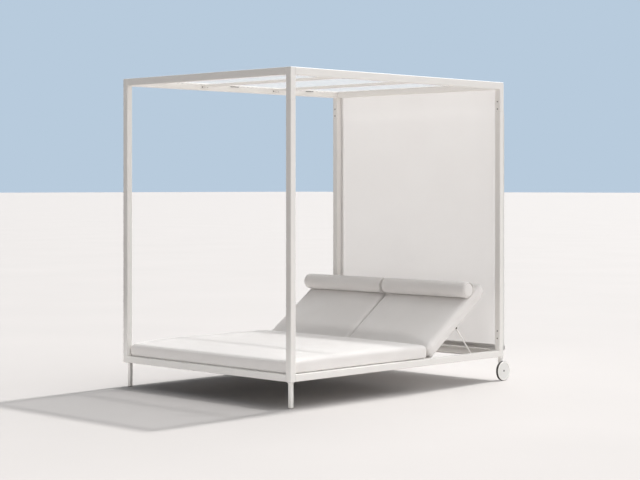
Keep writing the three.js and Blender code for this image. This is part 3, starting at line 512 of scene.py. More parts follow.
def head_rings(centre, axis, sign, radius=SCREW_HEAD, rise=SCREW_RISE, count=24):
    """A domed button head with a hexagon socket; it stands up from centre along sign times axis."""
    dome = [(1, 0), (1, 0.25), (0.93, 0.55), (0.76, 0.85), (0.55, 0.98)]
    rings = [circle(radius * across, count, axis, sign * rise * up, centre) for across, up in dome]
    flats = [SOCKET * radius / SCREW_HEAD / math.cos((t % (math.pi / 3)) - math.pi / 6) for t in whole(count)]
    hexagon = [(flat * math.cos(t), flat * math.sin(t)) for flat, t in zip(flats, whole(count))]
    return rings + [ring(hexagon, axis, sign * rise * up, centre) for up in (0.98, 0.3)]


LOWER_SCREWS = (355 * MM, 301 * MM)
UPPER_SCREWS = (1957 * MM, 2011 * MM)
SLEEVE_CORNER = 1.5 * MM
for corner in CORNERS:
    post_low, post_high, middle = boxed(f"post_{corner}")
    inward = -ENDS[corner.split("_")[0]]
    face = post_high.y if inward > 0 else post_low.y
    for level, heights in (("lower", LOWER_SCREWS), ("upper", UPPER_SCREWS)):
        node = f"{level}_sleeve_{corner}"
        low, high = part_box(node)
        shape = section(high.x - low.x, high.x - low.x, SLEEVE_CORNER)
        body = Build().add([ring(shape, "z", z, Vector((middle.x, middle.y, 0))) for z in (low.z, high.z)])
        for z in heights:
            body.add(head_rings(Vector((middle.x, face, z)), "y", inward))
        dress(body.piece("screwed_" + node), steel, "frame", node)
print("sleeves and screws: 8 of each pair")

# %% [markdown]
# ## Legs
# The legs are slimmer than the frame and flare into it in a quarter round, which is what makes the bed look
# light. The wheel legs end in a half round about the axle.

# %% Flared legs and glides
LEG = 25 * MM
LEG_CORNER = 3 * MM
FLARE = 15 * MM


def leg_rings(node, side, rounded_end):
    low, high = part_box(node)
    core_x = low.x + FLARE + LEG / 2 if side > 0 else high.x - FLARE - LEG / 2
    core_y = low.y + FLARE + LEG / 2
    limits = [core_x - LEG / 2 - low.x, high.x - core_x - LEG / 2, FLARE, high.y - core_y - LEG / 2]
    levels = [(low.z, 0)]
    if rounded_end:
        levels = [(low.z + LEG / 2 * (1 - math.cos(t)), -LEG / 2 * (1 - math.sin(t))) for t in quarter(6)[:-1]]
    levels += [(high.z - FLARE * (1 - math.sin(t)), FLARE * (1 - math.cos(t))) for t in quarter(12)]
    rings = []
    for z, flare in levels:
        west, east, south, north = [LEG / 2 + max(0, min(flare, limit)) for limit in limits]
        if flare < 0:
            south = north = max(LEG / 2 + flare, LEG_CORNER)
        shape = section(west + east, south + north, min(LEG_CORNER, (south + north) / 2.1))
        centre = Vector((core_x + (east - west) / 2, core_y + (north - south) / 2, z))
        rings.append(ring(shape, "z", 0, centre))
    return rings


def glide_rings(node):
    low, high, middle = boxed(node)
    foot = Vector((middle.x, middle.y, low.z))
    return [ring(section(LEG - 2 * inset, LEG - 2 * inset, LEG_CORNER), "z", z, foot)
            for z, inset in ((0, 1.2 * MM), (0.8 * MM, 0.2 * MM), (2 * MM, 0), (5 * MM, 0))]


for side, sx in SIDES.items():
    for kind in ("foot", "wheel"):
        leg = Build().add(leg_rings(f"{kind}_leg_{side}", sx, kind == "wheel")).piece(f"leg_{kind}_{side}")
        dress(leg, coat, "frame", f"{kind}_leg_{side}")
    pad_foot = Build().add(glide_rings(f"foot_glide_{side}")).piece(f"glide_{side}")
    dress(pad_foot, glide, "frame", f"foot_glide_{side}")
print("legs: 4, glides: 2")

# %% [markdown]
# ## Wheels
# A wheel is turned on its axle, so each piece is one outline spun round it: a tyre with two grooves, a disc
# with a raised rim and a dished centre, and the bolt that shows in the middle.

# %% Wheels
def spun(name, outline, side, count=96, closed=False):
    """An outline of (radius, along) in millimetres spun about the axle; along runs outward from the tyre."""
    rings = [circle(radius * MM, count, "x", side * along * MM) for radius, along in outline]
    return Build().add(rings, closed_rows=closed).piece(name, crease=28)


TYRE_OUTLINE = [(58, 0), (66.6, 0), (68.4, 0.5), (69.5, 1.5), (70, 3), (70, 4.6), (69, 5.1), (69, 5.7), (70, 6.2),
                (70, 10.8), (69, 11.3), (69, 11.9), (70, 12.4), (70, 14), (69.5, 15.5), (68.4, 16.5),
                (66.6, 17), (58, 17)]
DISC_OUTLINE = [(5.4, 0), (14, 0), (14, 8.3), (49.7, 8.3), (49.7, 0), (57.7, 0), (57.7, 17.3), (67.7, 17.3),
                (67.7, 19.4), (67.2, 20.3), (66.1, 20.9), (64.5, 21), (58.6, 21), (57.6, 20.7), (57, 19.9),
                (56.4, 19.3), (54, 19.1), (30, 18.7), (13, 18.9), (11.2, 19.3), (10.2, 19.9), (9, 20.1),
                (7.4, 19.9), (7.4, 18), (5.4, 18)]
NUT_OUTLINE = [(8.5, -39.3), (8.5, -32.3), (5, -32.3), (5, -6.7), (8.5, -6.7), (8.5, -0.3), (5, -0.3), (5, 18.4)]
for side, sx in SIDES.items():
    low, high, hub = boxed(f"tyre_{side}")
    hub.x = low.x if sx > 0 else high.x
    tyre = spun(f"rubber_tyre_{side}", TYRE_OUTLINE, sx, closed=True)
    disc = spun(f"moulded_disc_{side}", DISC_OUTLINE, sx, closed=True)
    axle = Build().add([circle(radius * MM, 32, "x", sx * along * MM) for radius, along in NUT_OUTLINE])
    axle.add(head_rings(Vector((sx * NUT_OUTLINE[-1][1] * MM, 0, 0)), "x", sx, 7 * MM, 2.2 * MM, 32))
    axle = axle.piece(f"axle_bolt_{side}")
    for piece in (tyre, disc, axle):
        piece.location = hub
    dress(tyre, rubber, f"wheel_{side}", f"tyre_{side}")
    dress(disc, plastic, f"wheel_{side}", f"wheel_disc_{side}")
    dress(axle, steel, "frame", f"axle_{side}")
print("wheels: 2 of", 2 * max(radius for radius, along in TYRE_OUTLINE), "mm")

# %% [markdown]
# ## Roof crossbars
# Two flat tubes carry the roof cloth at the thirds. Each ends in a plate with two dark screws into the long
# rail, which from below reads as a small dark bracket.

# %% Roof bars
PLATE = 3 * MM
PLATE_HEIGHT = 32 * MM
PLATE_CORNER = 4 * MM
PLATE_SCREWS = 26 * MM
PLATE_SCREW_DROP = 2 * MM
BAR_WIDTH = 40 * MM
BAR_HEIGHT = 20 * MM
BAR_CORNER = 3 * MM
for end in ENDS:
    low, high, middle = boxed(f"roof_bar_{end}")
    half = (high.x - low.x) / 2
    bar_middle = Vector((0, middle.y, high.z - BAR_HEIGHT / 2))
    plate_middle = Vector((0, middle.y, middle.z))
    bar_shape = section(BAR_WIDTH, BAR_HEIGHT, BAR_CORNER)
    plate_shape = section(high.y - low.y, PLATE_HEIGHT, PLATE_CORNER)
    body = Build().add([ring(bar_shape, "x", x, bar_middle) for x in (-half, half)])
    screws = Build()
    for sx in SIDES.values():
        body.add([ring(plate_shape, "x", sx * x, plate_middle) for x in (half, half - PLATE)])
        for sy in ENDS.values():
            offset = Vector((sx * (half - PLATE), sy * PLATE_SCREWS, -PLATE_SCREW_DROP))
            screws.add(head_rings(plate_middle + offset, "x", -sx))
    dress(body.piece(f"crossbar_{end}"), coat, "frame", f"roof_bar_{end}")
    dress(screws.piece(f"crossbar_screws_{end}"), steel, "frame")
print("roof bars:", 2)

# %% [markdown]
# ## Thin cloth
# Roof and back panel are sheets, so one helper makes them: a surface over an even grid, doubled by its
# thickness, closed round the edge. The form comes from a formula of where the cloth is held.


# %% Sheet helper
def sheet_piece(name, columns, rows, place, thickness, crease=50):
    """A closed thin sheet; place(u, v) gives a point and the direction of its thickness."""
    build = Build()
    across, down = columns + 1, rows + 1
    for sign in (0.5, -0.5):
        for j in range(down):
            for i in range(across):
                point, out = place(i / columns, j / rows)
                build.verts.append(point + out * (sign * thickness))
    layer = across * down
    for j in range(rows):
        for i in range(columns):
            a = j * across + i
            build.faces.append((a, a + 1, a + 1 + across, a + across))
            build.faces.append(tuple(layer + k for k in (a, a + across, a + 1 + across, a + 1)))
    rim = list(range(across)) + [j * across + columns for j in range(1, down)]
    rim += [rows * across + i for i in reversed(range(columns))] + [j * across for j in reversed(range(1, rows))]
    for a, b in zip(rim, rim[1:] + rim[:1]):
        build.faces.append((a, layer + a, layer + b, b))
    return build.piece(name, crease)


def wave(point, scale, seed=0.0):
    """Smooth noise from -1 to 1."""
    return noise.noise(Vector((point[0] / scale, point[1] / scale, point[2] / scale + seed)))


print("sheet helper ready")

# %% [markdown]
# ## Roof cloth
# The cloth lies on the crossbars and sags a little in each bay. Between its hooks the edge is drawn in, and
# short folds run from each hook into the cloth. A hem runs along each long edge.

# %% Roof cloth
low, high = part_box("roof_sheet")
ROOF_BAYS = 3
ROOF_SAG = 8 * MM
ROOF_PULL = 12 * MM
ROOF_CLOTH = 1.2 * MM
ROOF_HEM = 26 * MM
FOLD_HEIGHT = 2.2 * MM
FOLD_PITCH = 46 * MM
FOLD_REACH = 110 * MM
roof_top = high.z - 1 * MM
roof_half = high.x
roof_from, roof_to = low.y, high.y


def bay(y):
    """0 over the bars and ends, 1 in the middle of each bay."""
    return math.sin(ROOF_BAYS * math.pi * (y - roof_from) / (roof_to - roof_from)) ** 2


def roof_point(u, v):
    y = roof_from + v * (roof_to - roof_from)
    edge = roof_half - ROOF_PULL * bay(y)
    x = (2 * u - 1) * edge
    middle = 1 - (2 * u - 1) ** 2
    hook = math.exp(-((edge - abs(x)) / FOLD_REACH) ** 2) * bay(y)
    folds = FOLD_HEIGHT * hook * math.sin((y - roof_from) * math.tau / FOLD_PITCH)
    z = roof_top - ROOF_SAG * bay(y) * middle + folds + 0.8 * MM * wave((x, y, 0), 0.2)
    return Vector((x, y, z)), Vector((0, 0, 1))


def roof_hem_point(side):
    """A band along one long edge, just under the cloth."""
    def place(u, v):
        y = roof_from + v * (roof_to - roof_from)
        edge = roof_half - ROOF_PULL * bay(y)
        share = 0.5 + side * 0.5 * (edge - (1 - u) * ROOF_HEM) / edge
        point, out = roof_point(share, v)
        return point - out * (ROOF_CLOTH + 0.15 * MM), out
    return place


roof = sheet_piece("roof_cloth_sheet", 60, 150, roof_point, ROOF_CLOTH)
dress(roof, roof_cloth, "frame", "roof_sheet")
roof_hems = [dress(sheet_piece(f"roof_hem_{side}", 3, 150, roof_hem_point(sx), ROOF_CLOTH), roof_cloth, "frame")
             for side, sx in SIDES.items()]
print("roof cloth:", round(2 * roof_half, 3), "by", round(roof_to - roof_from, 3), "m")

# %% [markdown]
# ## Roof hooks
# A webbing loop at the middle of each bay pulls the edge out. Dark cords lace the cloth to the rails there,
# beside the crossbars and at the corners, which is all that shows of the fixing from below.

# %% Roof hooks
STRAP = 22 * MM
STRAP_LENGTH = 38 * MM
STRAP_DROPS = (3.3 * MM, 1.9 * MM)
CORD = 2.5 * MM
CORD_DROP = 5 * MM
ROOF_GAP = 6 * MM
LACING = 42 * MM
BAR_LACING = 45 * MM
END_LACING = 25 * MM
bay_length = (roof_to - roof_from) / ROOF_BAYS
straps = Build()
cords = Build()
laced = []
for sx in SIDES.values():
    side_gap = sx * (roof_half + ROOF_GAP)
    for k in range(ROOF_BAYS):
        y = roof_from + (k + 0.5) * bay_length
        edge = roof_half - ROOF_PULL
        strap_middle = Vector((sx * (edge - 9 * MM), y, 0))
        straps.add([ring(section(STRAP_LENGTH, STRAP, 2 * MM), "z", roof_top - drop, strap_middle)
                    for drop in STRAP_DROPS])
        laced.append((sx * (edge + ROOF_GAP), y + (30 * MM if k > 1 else -70 * MM), CORD, LACING))
        if k:
            laced.append((side_gap, roof_from + k * bay_length - 40 * MM, CORD, BAR_LACING))
    for sy in ENDS.values():
        laced.append((side_gap, sy * (roof_to - 60 * MM), CORD, LACING))
        laced.append((sx * (roof_half - 95 * MM), sy * (roof_to + ROOF_GAP), END_LACING, CORD))
for x, y, half_x, half_y in laced:
    levels = []
    for turn in [math.pi * (i / 6 - 0.5) for i in range(7)]:
        inset = CORD * (1 - math.cos(turn)) * 0.9
        shape = section(2 * (half_x - inset), 2 * (half_y - inset), (CORD - inset) * 0.9)
        levels.append(ring(shape, "z", roof_top - CORD_DROP + CORD * math.sin(turn), Vector((x, y, 0))))
    cords.add(levels)
dress(straps.piece("roof_straps"), roof_cloth, "frame")
dress(cords.piece("roof_cords"), rubber, "frame")
print("roof straps:", 2 * ROOF_BAYS, "cords:", len(laced))

# %% [markdown]
# ## Back panel
# A taut cloth behind the head posts. Its sides are rolled over a cord, which stands proud of the posts, and
# the rolls flatten near the top where the panel is tucked over the head rail. The foot of the cloth ends in a
# pocket, and a flat bar below keeps it straight.

# %% Back panel
low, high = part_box("back_panel")
PANEL_CLOTH = 1.2 * MM
ROLL = 11 * MM
PANEL_HEM = 58 * MM
HEM_FOLD = 5 * MM
TUCK_LOW = 1894 * MM
TUCK_HIGH = 1986 * MM
POCKET_DROP = 6 * MM
POCKET_EASE = 0.6 * MM
panel_face = low.y
panel_edge = high.x
panel_low, panel_high = low.z, high.z


def eased(value, start, stop):
    share = min(max((value - start) / (stop - start), 0), 1)
    return share * share * (3 - 2 * share)


def panel_depth(z):
    """How far the cloth stands behind the posts: half a roll, and flat at the top."""
    return PANEL_CLOTH / 2 + (1 - eased(z, TUCK_LOW, TUCK_HIGH)) * (ROLL - PANEL_CLOTH) / 2


def panel_point(u, v):
    x = (2 * u - 1) * (panel_edge - ROLL * 0.6)
    z = panel_low + v * (panel_high - panel_low)
    inward = max(0, abs(x) - 0.2) / 0.6
    ripple = 1.6 * MM * wave((x, 0, z), 0.45) + 0.7 * MM * wave((x, 1, z * 0.25), 0.12)
    pull = 1.5 * MM * math.sin(z * math.tau / 0.12) * math.exp(-((panel_edge - abs(x)) / 0.05) ** 2)
    hold = 1 - eased(z, TUCK_HIGH - 0.1, TUCK_HIGH + 0.02)
    y = panel_face + panel_depth(z) + (ripple * (1 - min(inward, 1) * 0.6) + pull) * hold
    return Vector((x, y, z)), Vector((0, 1, 0))


def panel_roll(side):
    """The cord in the side hem, as a tube that flattens into the tuck."""
    rings = []
    for j in range(121):
        z = panel_low + j / 120 * (panel_high - panel_low)
        firm = 1 - eased(z, TUCK_LOW, TUCK_HIGH)
        half_x = ROLL / 2
        half_y = max(ROLL / 2 * firm, PANEL_CLOTH * 0.8)
        centre = Vector((side * (panel_edge - half_x), panel_face + max(panel_depth(z), half_y), z))
        rings.append(ring([(half_x * math.cos(t), half_y * math.sin(t)) for t in whole(16)], "z", 0, centre))
    return rings


def panel_band(side, sign):
    """The hem beside the roll, doubled on the inside face so that it shows past the post."""
    def place(u, v):
        share = 0.5 + side * 0.5 * (1 - u * PANEL_HEM / (panel_edge - ROLL * 0.6))
        point, out = panel_point(share, v)
        return point + out * sign * (PANEL_CLOTH + 0.1 * MM), out
    return place


def fold_point(u, v):
    """The stitched end of the cloth, doubled on the side that faces the bed."""
    point, out = panel_point(u, v * HEM_FOLD / (panel_high - panel_low))
    return point - out * (PANEL_CLOTH + 0.2 * MM), out


def pocket_rings(skin):
    """One skin of the pocket round the hem bar, a little wavy along its lower edge."""
    bar_low, bar_high, bar_middle = boxed("hem_bar")
    deep = bar_high.y - bar_low.y + 2 * (POCKET_EASE + skin)
    rings = []
    for i in range(41):
        x = bar_low.x + (bar_high.x - bar_low.x) * i / 40
        tall = panel_low - bar_low.z + POCKET_DROP + 2 * skin + 1.2 * MM * wave((x, 0, 0), 0.11, 4)
        middle = Vector((0, bar_middle.y, panel_low + skin - tall / 2))
        rings.append(ring(section(deep, tall, 4.5 * MM), "x", x, middle))
    return rings


panel = dress(sheet_piece("panel_cloth_sheet", 70, 90, panel_point, PANEL_CLOTH), panel_cloth, "frame",
              "back_panel")
panel_parts = []
for side, sx in SIDES.items():
    panel_parts.append(Build().add(panel_roll(sx)).piece(f"panel_roll_{side}"))
    panel_parts.append(sheet_piece(f"panel_hem_{side}", 4, 90, panel_band(sx, -1), PANEL_CLOTH * 0.6))
panel_parts.append(sheet_piece("panel_fold", 70, 2, fold_point, PANEL_CLOTH))
pocket = Build().add(pocket_rings(PANEL_CLOTH * 0.6)).add(pocket_rings(0)[::-1])
panel_parts.append(pocket.piece("panel_pocket"))
for part in panel_parts:
    dress(part, panel_cloth, "frame")
print("panel cloth:", round(2 * panel_edge, 3), "by", round(panel_high - panel_low, 3), "m")

# %% Hem bar
HEM_BAR_EDGE = 1.5 * MM
low, high, middle = boxed("hem_bar")
rings = []
for x, inset in ((low.x, HEM_BAR_EDGE), (low.x + HEM_BAR_EDGE, 0), (high.x - HEM_BAR_EDGE, 0), (high.x, HEM_BAR_EDGE)):
    shape = section(high.y - low.y - 2 * inset, high.z - low.z - 2 * inset, 3 * MM)
    rings.append(ring(shape, "x", x, Vector((0, middle.y, middle.z))))
dress(Build().add(rings).piece("flat_hem_bar"), coat, "frame", "hem_bar")
print("hem bar:", round(high.x - low.x, 3), "m")

# %% [markdown]
# ## Cushions
# A sewn cushion is cut as panels: a top, a bottom and a border. It starts here as a slab a little smaller than
# the finished cushion, with round rims. The cloth solver then blows it up gently, which gives the crown and
# the small tensions that no formula has. The seams are drawn in afterwards, with a row of puckers.


# %% Cushion outline
def outline(corners, inset, arc, pitch, draw=0.0):
    """Points round a polygon with rounded corners, moved in by inset, each side drawn in at its middle."""
    arcs = []
    for k, (x, y, radius) in enumerate(corners):
        back, ahead = corners[k - 1], corners[(k + 1) % len(corners)]
        before = Vector((x - back[0], y - back[1])).normalized()
        after = Vector((ahead[0] - x, ahead[1] - y)).normalized()
        in_before, in_after = Vector((-before.y, before.x)), Vector((-after.y, after.x))
        turn = 1 if before.cross(after) > 0 else -1
        round_off = max(radius - turn * inset, 2 * MM)
        corner = Vector((x, y)) + inset * (in_before + in_after)
        centre = corner + turn * round_off * (in_before + in_after)
        arcs.append([centre - turn * round_off * (in_before * math.cos(t) + in_after * math.sin(t))
                     for t in quarter(arc)])
    points = []
    for k, run in enumerate(arcs):
        start, stop = run[-1], arcs[(k + 1) % len(arcs)][0]
        rough = math.dist(corners[k][:2], corners[(k + 1) % len(corners)][:2])
        count = max(2, round(rough / pitch))
        inward = Vector((-(stop - start).y, (stop - start).x)).normalized()
        side = [start.lerp(stop, i / count) + inward * draw * math.sin(math.pi * i / count)
                for i in range(1, count)]
        points += [*run, *side]
    return points


def slab(name, corners, thick, crown, rim_low, rim_high, draw, pitch=20 * MM):
    """A flat-bottomed cushion with rounded rims and a crowned top."""
    middle = Vector((sum(c[0] for c in corners), sum(c[1] for c in corners))) / len(corners)
    levels = [(rim_low * (1 - math.cos(t)), rim_low * (1 - math.sin(t)), 1) for t in quarter(6)]
    levels += [(thick - rim_high * (1 - math.sin(t)), rim_high * (1 - math.cos(t)), 1) for t in quarter(6)]
    levels += [(thick + crown * (1 - share ** 2), rim_high, share)
               for share in (0.96, 0.9, 0.8, 0.7, 0.6, 0.5, 0.4, 0.3, 0.2, 0.1, 0.04)]
    rings = []
    for z, inset, share in levels:
        shape = [middle + (p - middle) * share for p in outline(corners, inset, 8, pitch, draw)]
        rings.append([Vector((p.x, p.y, z)) for p in shape])
    return Build().add(rings).piece(name, crease=80)


print("cushion helpers ready")


# %% Blowing up and sewing
def modifier_applied(piece, kind, **settings):
    """The mesh as a modifier leaves it, with the modifier gone."""
    modifier = piece.modifiers.new("step", kind)
    for key, value in settings.items():
        setattr(modifier, key, value)
    graph = bpy.context.evaluated_depsgraph_get()
    made = bpy.data.meshes.new_from_object(piece.evaluated_get(graph))
    piece.modifiers.clear()
    piece.data = made


BLOWN_FRAMES = 20
PRESSURE = 2.0


def blown_up(piece, voxel, most):
    """The cloth solver's shape after some frames of pressure, with no point moved further than most."""
    modifier_applied(piece, "REMESH", mode="VOXEL", voxel_size=voxel)
    start = [v.co.copy() for v in piece.data.vertices]
    cloth = piece.modifiers.new("cloth", "CLOTH")
    cloth.settings.use_pressure = True
    cloth.settings.uniform_pressure_force = PRESSURE
    cloth.settings.effector_weights.gravity = 0
    cloth.settings.quality = 3
    cloth.point_cache.frame_start = 1
    cloth.point_cache.frame_end = BLOWN_FRAMES
    for step in range(1, BLOWN_FRAMES + 1):
        bpy.context.scene.frame_set(step)
    graph = bpy.context.evaluated_depsgraph_get()
    moved = [v.co.copy() for v in piece.evaluated_get(graph).data.vertices]
    piece.modifiers.clear()
    bpy.context.scene.frame_set(1)
    for vertex, home, end in zip(piece.data.vertices, start, moved):
        step = end - home
        vertex.co = home + step * min(1.0, most / max(step.length, 1e-9))
    modifier_applied(piece, "SUBSURF", levels=1)
    return piece


def reshaped(piece, move):
    """Adds move(point, normal) to every point; all are worked out before any point moves."""
    moves = [move(vertex.co, vertex.normal) for vertex in piece.data.vertices]
    for vertex, step in zip(piece.data.vertices, moves):
        vertex.co += step
    piece.data.shade_smooth()
    return piece


def creased(piece, shape):
    """Moves every point along its normal by shape(point)."""
    return reshaped(piece, lambda point, normal: normal * shape(point))


def sewn(piece, seam, depth, reach):
    """Draws the surface in along a seam, deeper at each pucker, with a low ridge beside it."""
    tree = kdtree.KDTree(len(seam))
    for index, point in enumerate(seam):
        tree.insert(point, index)
    tree.balance()

    def pinch(point):
        gap = tree.find(point)[2] / reach
        pucker = 0.8 + 0.6 * wave(point, 20 * MM)
        return depth * (0.35 * math.exp(-((gap - 2) ** 2)) - pucker * math.exp(-(gap ** 2))) if gap < 4 else 0.0
    return creased(piece, pinch)


def seam_line(corners, inset, z, draw):
    return [Vector((p.x, p.y, z)) for p in outline(corners, inset, 12, 5 * MM, draw)]


print("simulation helpers ready")

# %% [markdown]
# ## Mattress
# One thick pad covers the rails and is cut round the foot posts. It is firm: the sides are straight, the rims
# are tight and the top is nearly flat, with the faint cross folds of a foam core that was once bent.

# %% Mattress
low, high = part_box("mattress")
post_low, post_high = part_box("post_foot_right")
CUSHION_EASE = 1.5 * MM
POST_GAP = 2.5 * MM
DRAW_IN = 4 * MM
MATTRESS_CROWN = 4 * MM
MATTRESS_DOME = 13 * MM
MATTRESS_TILT = 3 * MM
MATTRESS_RIM = 27 * MM
MATTRESS_FLOOR_RIM = 10 * MM
MATTRESS_THICK = high.z - low.z - 6 * MM
MATTRESS_BENDS = ((0.70, 1.4 * MM, 0.022, 0.03, 0.5, 0), (0.9, 0.9 * MM, 0.03, 0.05, 0.4, 3))
half = high.x - CUSHION_EASE
notch_x = post_low.x - POST_GAP
notch_y = post_high.y + POST_GAP
foot_y, head_y = low.y + CUSHION_EASE, high.y - CUSHION_EASE
MATTRESS_CORNERS = [(notch_x, foot_y, 10 * MM), (notch_x, notch_y, 4 * MM), (half, notch_y, 10 * MM),
                    (half, head_y, 30 * MM), (-half, head_y, 30 * MM), (-half, notch_y, 10 * MM),
                    (-notch_x, notch_y, 4 * MM), (-notch_x, foot_y, 10 * MM)]
mattress = slab("mattress_cushion", MATTRESS_CORNERS, MATTRESS_THICK, MATTRESS_CROWN, MATTRESS_FLOOR_RIM,
                MATTRESS_RIM, DRAW_IN)
mattress = blown_up(mattress, 8 * MM, 3 * MM)


def mattress_folds(point):
    """Two faint cross folds that wander a little, a soft unevenness on top and a finer one on the sides."""
    top = eased(point.z, MATTRESS_THICK - 12 * MM, MATTRESS_THICK)
    bend = 0
    for place, depth, width, wander, scale, seed in MATTRESS_BENDS:
        bend -= depth * math.exp(-(((point.y + place + wander * wave(point, scale, seed)) / width) ** 2))
    soft = 1.3 * MM * wave(point, 0.28) + 0.5 * MM * wave(point, 0.09, 5)
    side = (1 - top) * 1.0 * MM * wave((point.x, point.y, 0), 0.07, 2)
    return top * (bend + soft) + side


def mattress_dome(point, normal):
    """The filling stands higher in the middle of each long side and of the head than at the corners."""
    u, v = point.x / half, (2 * point.y - foot_y - head_y) / (head_y - foot_y)
    rise = MATTRESS_DOME * (1 - 0.6 * abs(u * v) ** 3) - MATTRESS_TILT * u
    return Vector((0, 0, rise * eased(v, -1, -0.55) * point.z / MATTRESS_THICK))


seam = seam_line(MATTRESS_CORNERS, 9 * MM, MATTRESS_THICK - 7 * MM, DRAW_IN)
mattress = sewn(creased(mattress, mattress_folds), seam, 0.8 * MM, 3.5 * MM)
mattress = reshaped(mattress, mattress_dome)
mattress.location.z = low.z
dress(mattress, cover, "frame", "mattress")
print("mattress:", len(mattress.data.vertices), "points")

# %% [markdown]
# ## Back pads and bolsters
# The pads are made flat in the back's own axes, as on a cutting table, and then turned up to the angle of the
# back. The same mesh serves both sides, mirrored, as the two covers are sewn from mirrored patterns. The pad is
# wider than the frame under it, and its rim hangs down over the frame's outer side and top.

# %% Back pads
joint = next(j for j in frame["joints"] if j["name"] == "back_right_recline")
hinge = Vector(joint["pos_m"])
BACK_ANGLE = math.radians(35.2)
BACK_TURN = Matrix.Translation((0, hinge.y, hinge.z)) @ Matrix.Rotation(BACK_ANGLE, 4, "X")


def back_box(node):
    """The box of a solid in the back's own axes: X across, Y up the back, Z out of its face."""
    points = [BACK_TURN.inverted() @ v.co for v in frame["nodes"][node].data.vertices]
    return [Vector([pick(p[i] for p in points) for i in range(3)]) for pick in (min, max)]


low, high = back_box("back_pad_right")
bars_low, bars_high = back_box("back_frame_right")
PAD_EASE = 1 * MM
PAD_CROWN = 5 * MM
PAD_ROUND = 22 * MM
PAD_RIM = 20 * MM
PAD_HANG = 5 * MM
PRESS = 9 * MM
PRESS_WIDTH = 32 * MM
pad_base = low.z + 0.3 * MM
pad_thick = high.z - low.z - PAD_CROWN - 1.5 * MM
pad_top = high.y
pad_sides = (high.x - PAD_EASE, low.x + PAD_EASE)
pad_ends = (low.y + PAD_EASE, high.y - PAD_EASE)
PAD_CORNERS = [(x, y, PAD_ROUND) for x, ends in zip(pad_sides, (pad_ends, pad_ends[::-1])) for y in ends]
pad = slab("back_cushion_right", PAD_CORNERS, pad_thick, PAD_CROWN, 3 * MM, PAD_RIM, DRAW_IN)
pad = blown_up(pad, 6 * MM, 2.5 * MM)
bolster_low, bolster_high = back_box("bolster_right")
bolster_y = (bolster_low.y + bolster_high.y) / 2 - 3 * MM
head_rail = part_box("base_rail_head")[0].y - hinge.y


def pad_folds(point):
    """A soft unevenness, and the hollow that the bolster presses."""
    top = eased(point.z, pad_thick - 10 * MM, pad_thick)
    soft = 1.1 * MM * wave(point, 0.2, 8) + 0.5 * MM * wave(point, 0.07, 9)
    press = -PRESS * math.exp(-(((point.y - bolster_y) / PRESS_WIDTH) ** 2))
    return top * (soft + press) + (1 - top) * 0.7 * MM * wave(point, 0.08, 4)


def pad_hang(point, normal):
    """Lowers the under rim where it is clear of the frame, and of the head rail when the back lies flat."""
    clear = max(eased(point.x, bars_high.x + 3 * MM, bars_high.x + 12 * MM),
                eased(point.y, bars_high.y + 3 * MM, bars_high.y + 14 * MM))
    clear *= 1 - eased(point.y, head_rail - 34 * MM, head_rail - 10 * MM)
    hang = PAD_HANG * (1 + 1.6 * point.y / pad_top)
    return Vector((0, 0, -hang * clear * (1 - eased(point.z, 0, 0.4 * pad_thick))))


pad = reshaped(creased(pad, pad_folds), pad_hang)
pad = sewn(pad, seam_line(PAD_CORNERS, 5.7 * MM, pad_thick - 6 * MM, DRAW_IN), 0.9 * MM, 3 * MM)
print("back pad:", len(pad.data.vertices), "points")

# %% [markdown]
# A bolster is a tube of cloth with a round cap sewn into each end. The tube's end is drawn in to the cap, so
# the rim is well rounded and the seam is a ring on the end. It flattens where it lies.

# %% Bolsters
BOLSTER_SINK = 3.5 * MM
bolster_radius = (bolster_high.y - bolster_low.y) / 2 + 1 * MM
bolster_z = bolster_high.z - bolster_radius
BOLSTER_SPARE = 18 * MM
INNER_END = 0.4
CAP_SEAM = 0.78
CAP_STITCH = (0.85, 6)
CAP_PROFILE = [(0.02, 0), (0.3, 0.4), (0.52, 1.3), (0.68, 2.6), (CAP_SEAM - 0.03, 3.6), (CAP_SEAM, 6.4),
               (CAP_SEAM + 0.03, 5), CAP_STITCH, (0.885, 8.2), (0.925, 11.2), (0.96, 15.5), (0.985, 21), (1, 29)]


def bolster_spot(share, along, turn):
    """A point of the skin, slightly uneven, flattened where the bolster lies."""
    radius = bolster_radius * share
    around = (math.cos(turn) * 0.1, math.sin(turn) * 0.1)
    radius += share * (0.7 * MM * wave((along, *around), 0.06) + 0.5 * MM * wave((along * 0.3, *around), 0.03, 6))
    bottom = bolster_z - bolster_radius + BOLSTER_SINK
    return Vector((bolster_low.x + along, bolster_y + radius * math.cos(turn),
                   max(bolster_z + radius * math.sin(turn), bottom)))


bolster_length = bolster_high.x - bolster_low.x + BOLSTER_SPARE
tail = CAP_PROFILE[-1][1] * MM
stations = [(share, INNER_END * along * MM) for share, along in CAP_PROFILE]
stations += [(1, INNER_END * tail + (bolster_length - (1 + INNER_END) * tail) * i / 60) for i in range(1, 60)]
stations += [(share, bolster_length - along * MM) for share, along in reversed(CAP_PROFILE)]
bolster_rings = [[bolster_spot(share, along, turn) for turn in whole(56)] for share, along in stations]
bolster = Build().add(bolster_rings).piece("bolster_roll_right", crease=80)
print("bolster:", len(bolster.data.vertices), "points")

# %% [markdown]
# The cap is sewn on with visible stitches, and a webbing tab at the outer end ties the bolster to its pad.

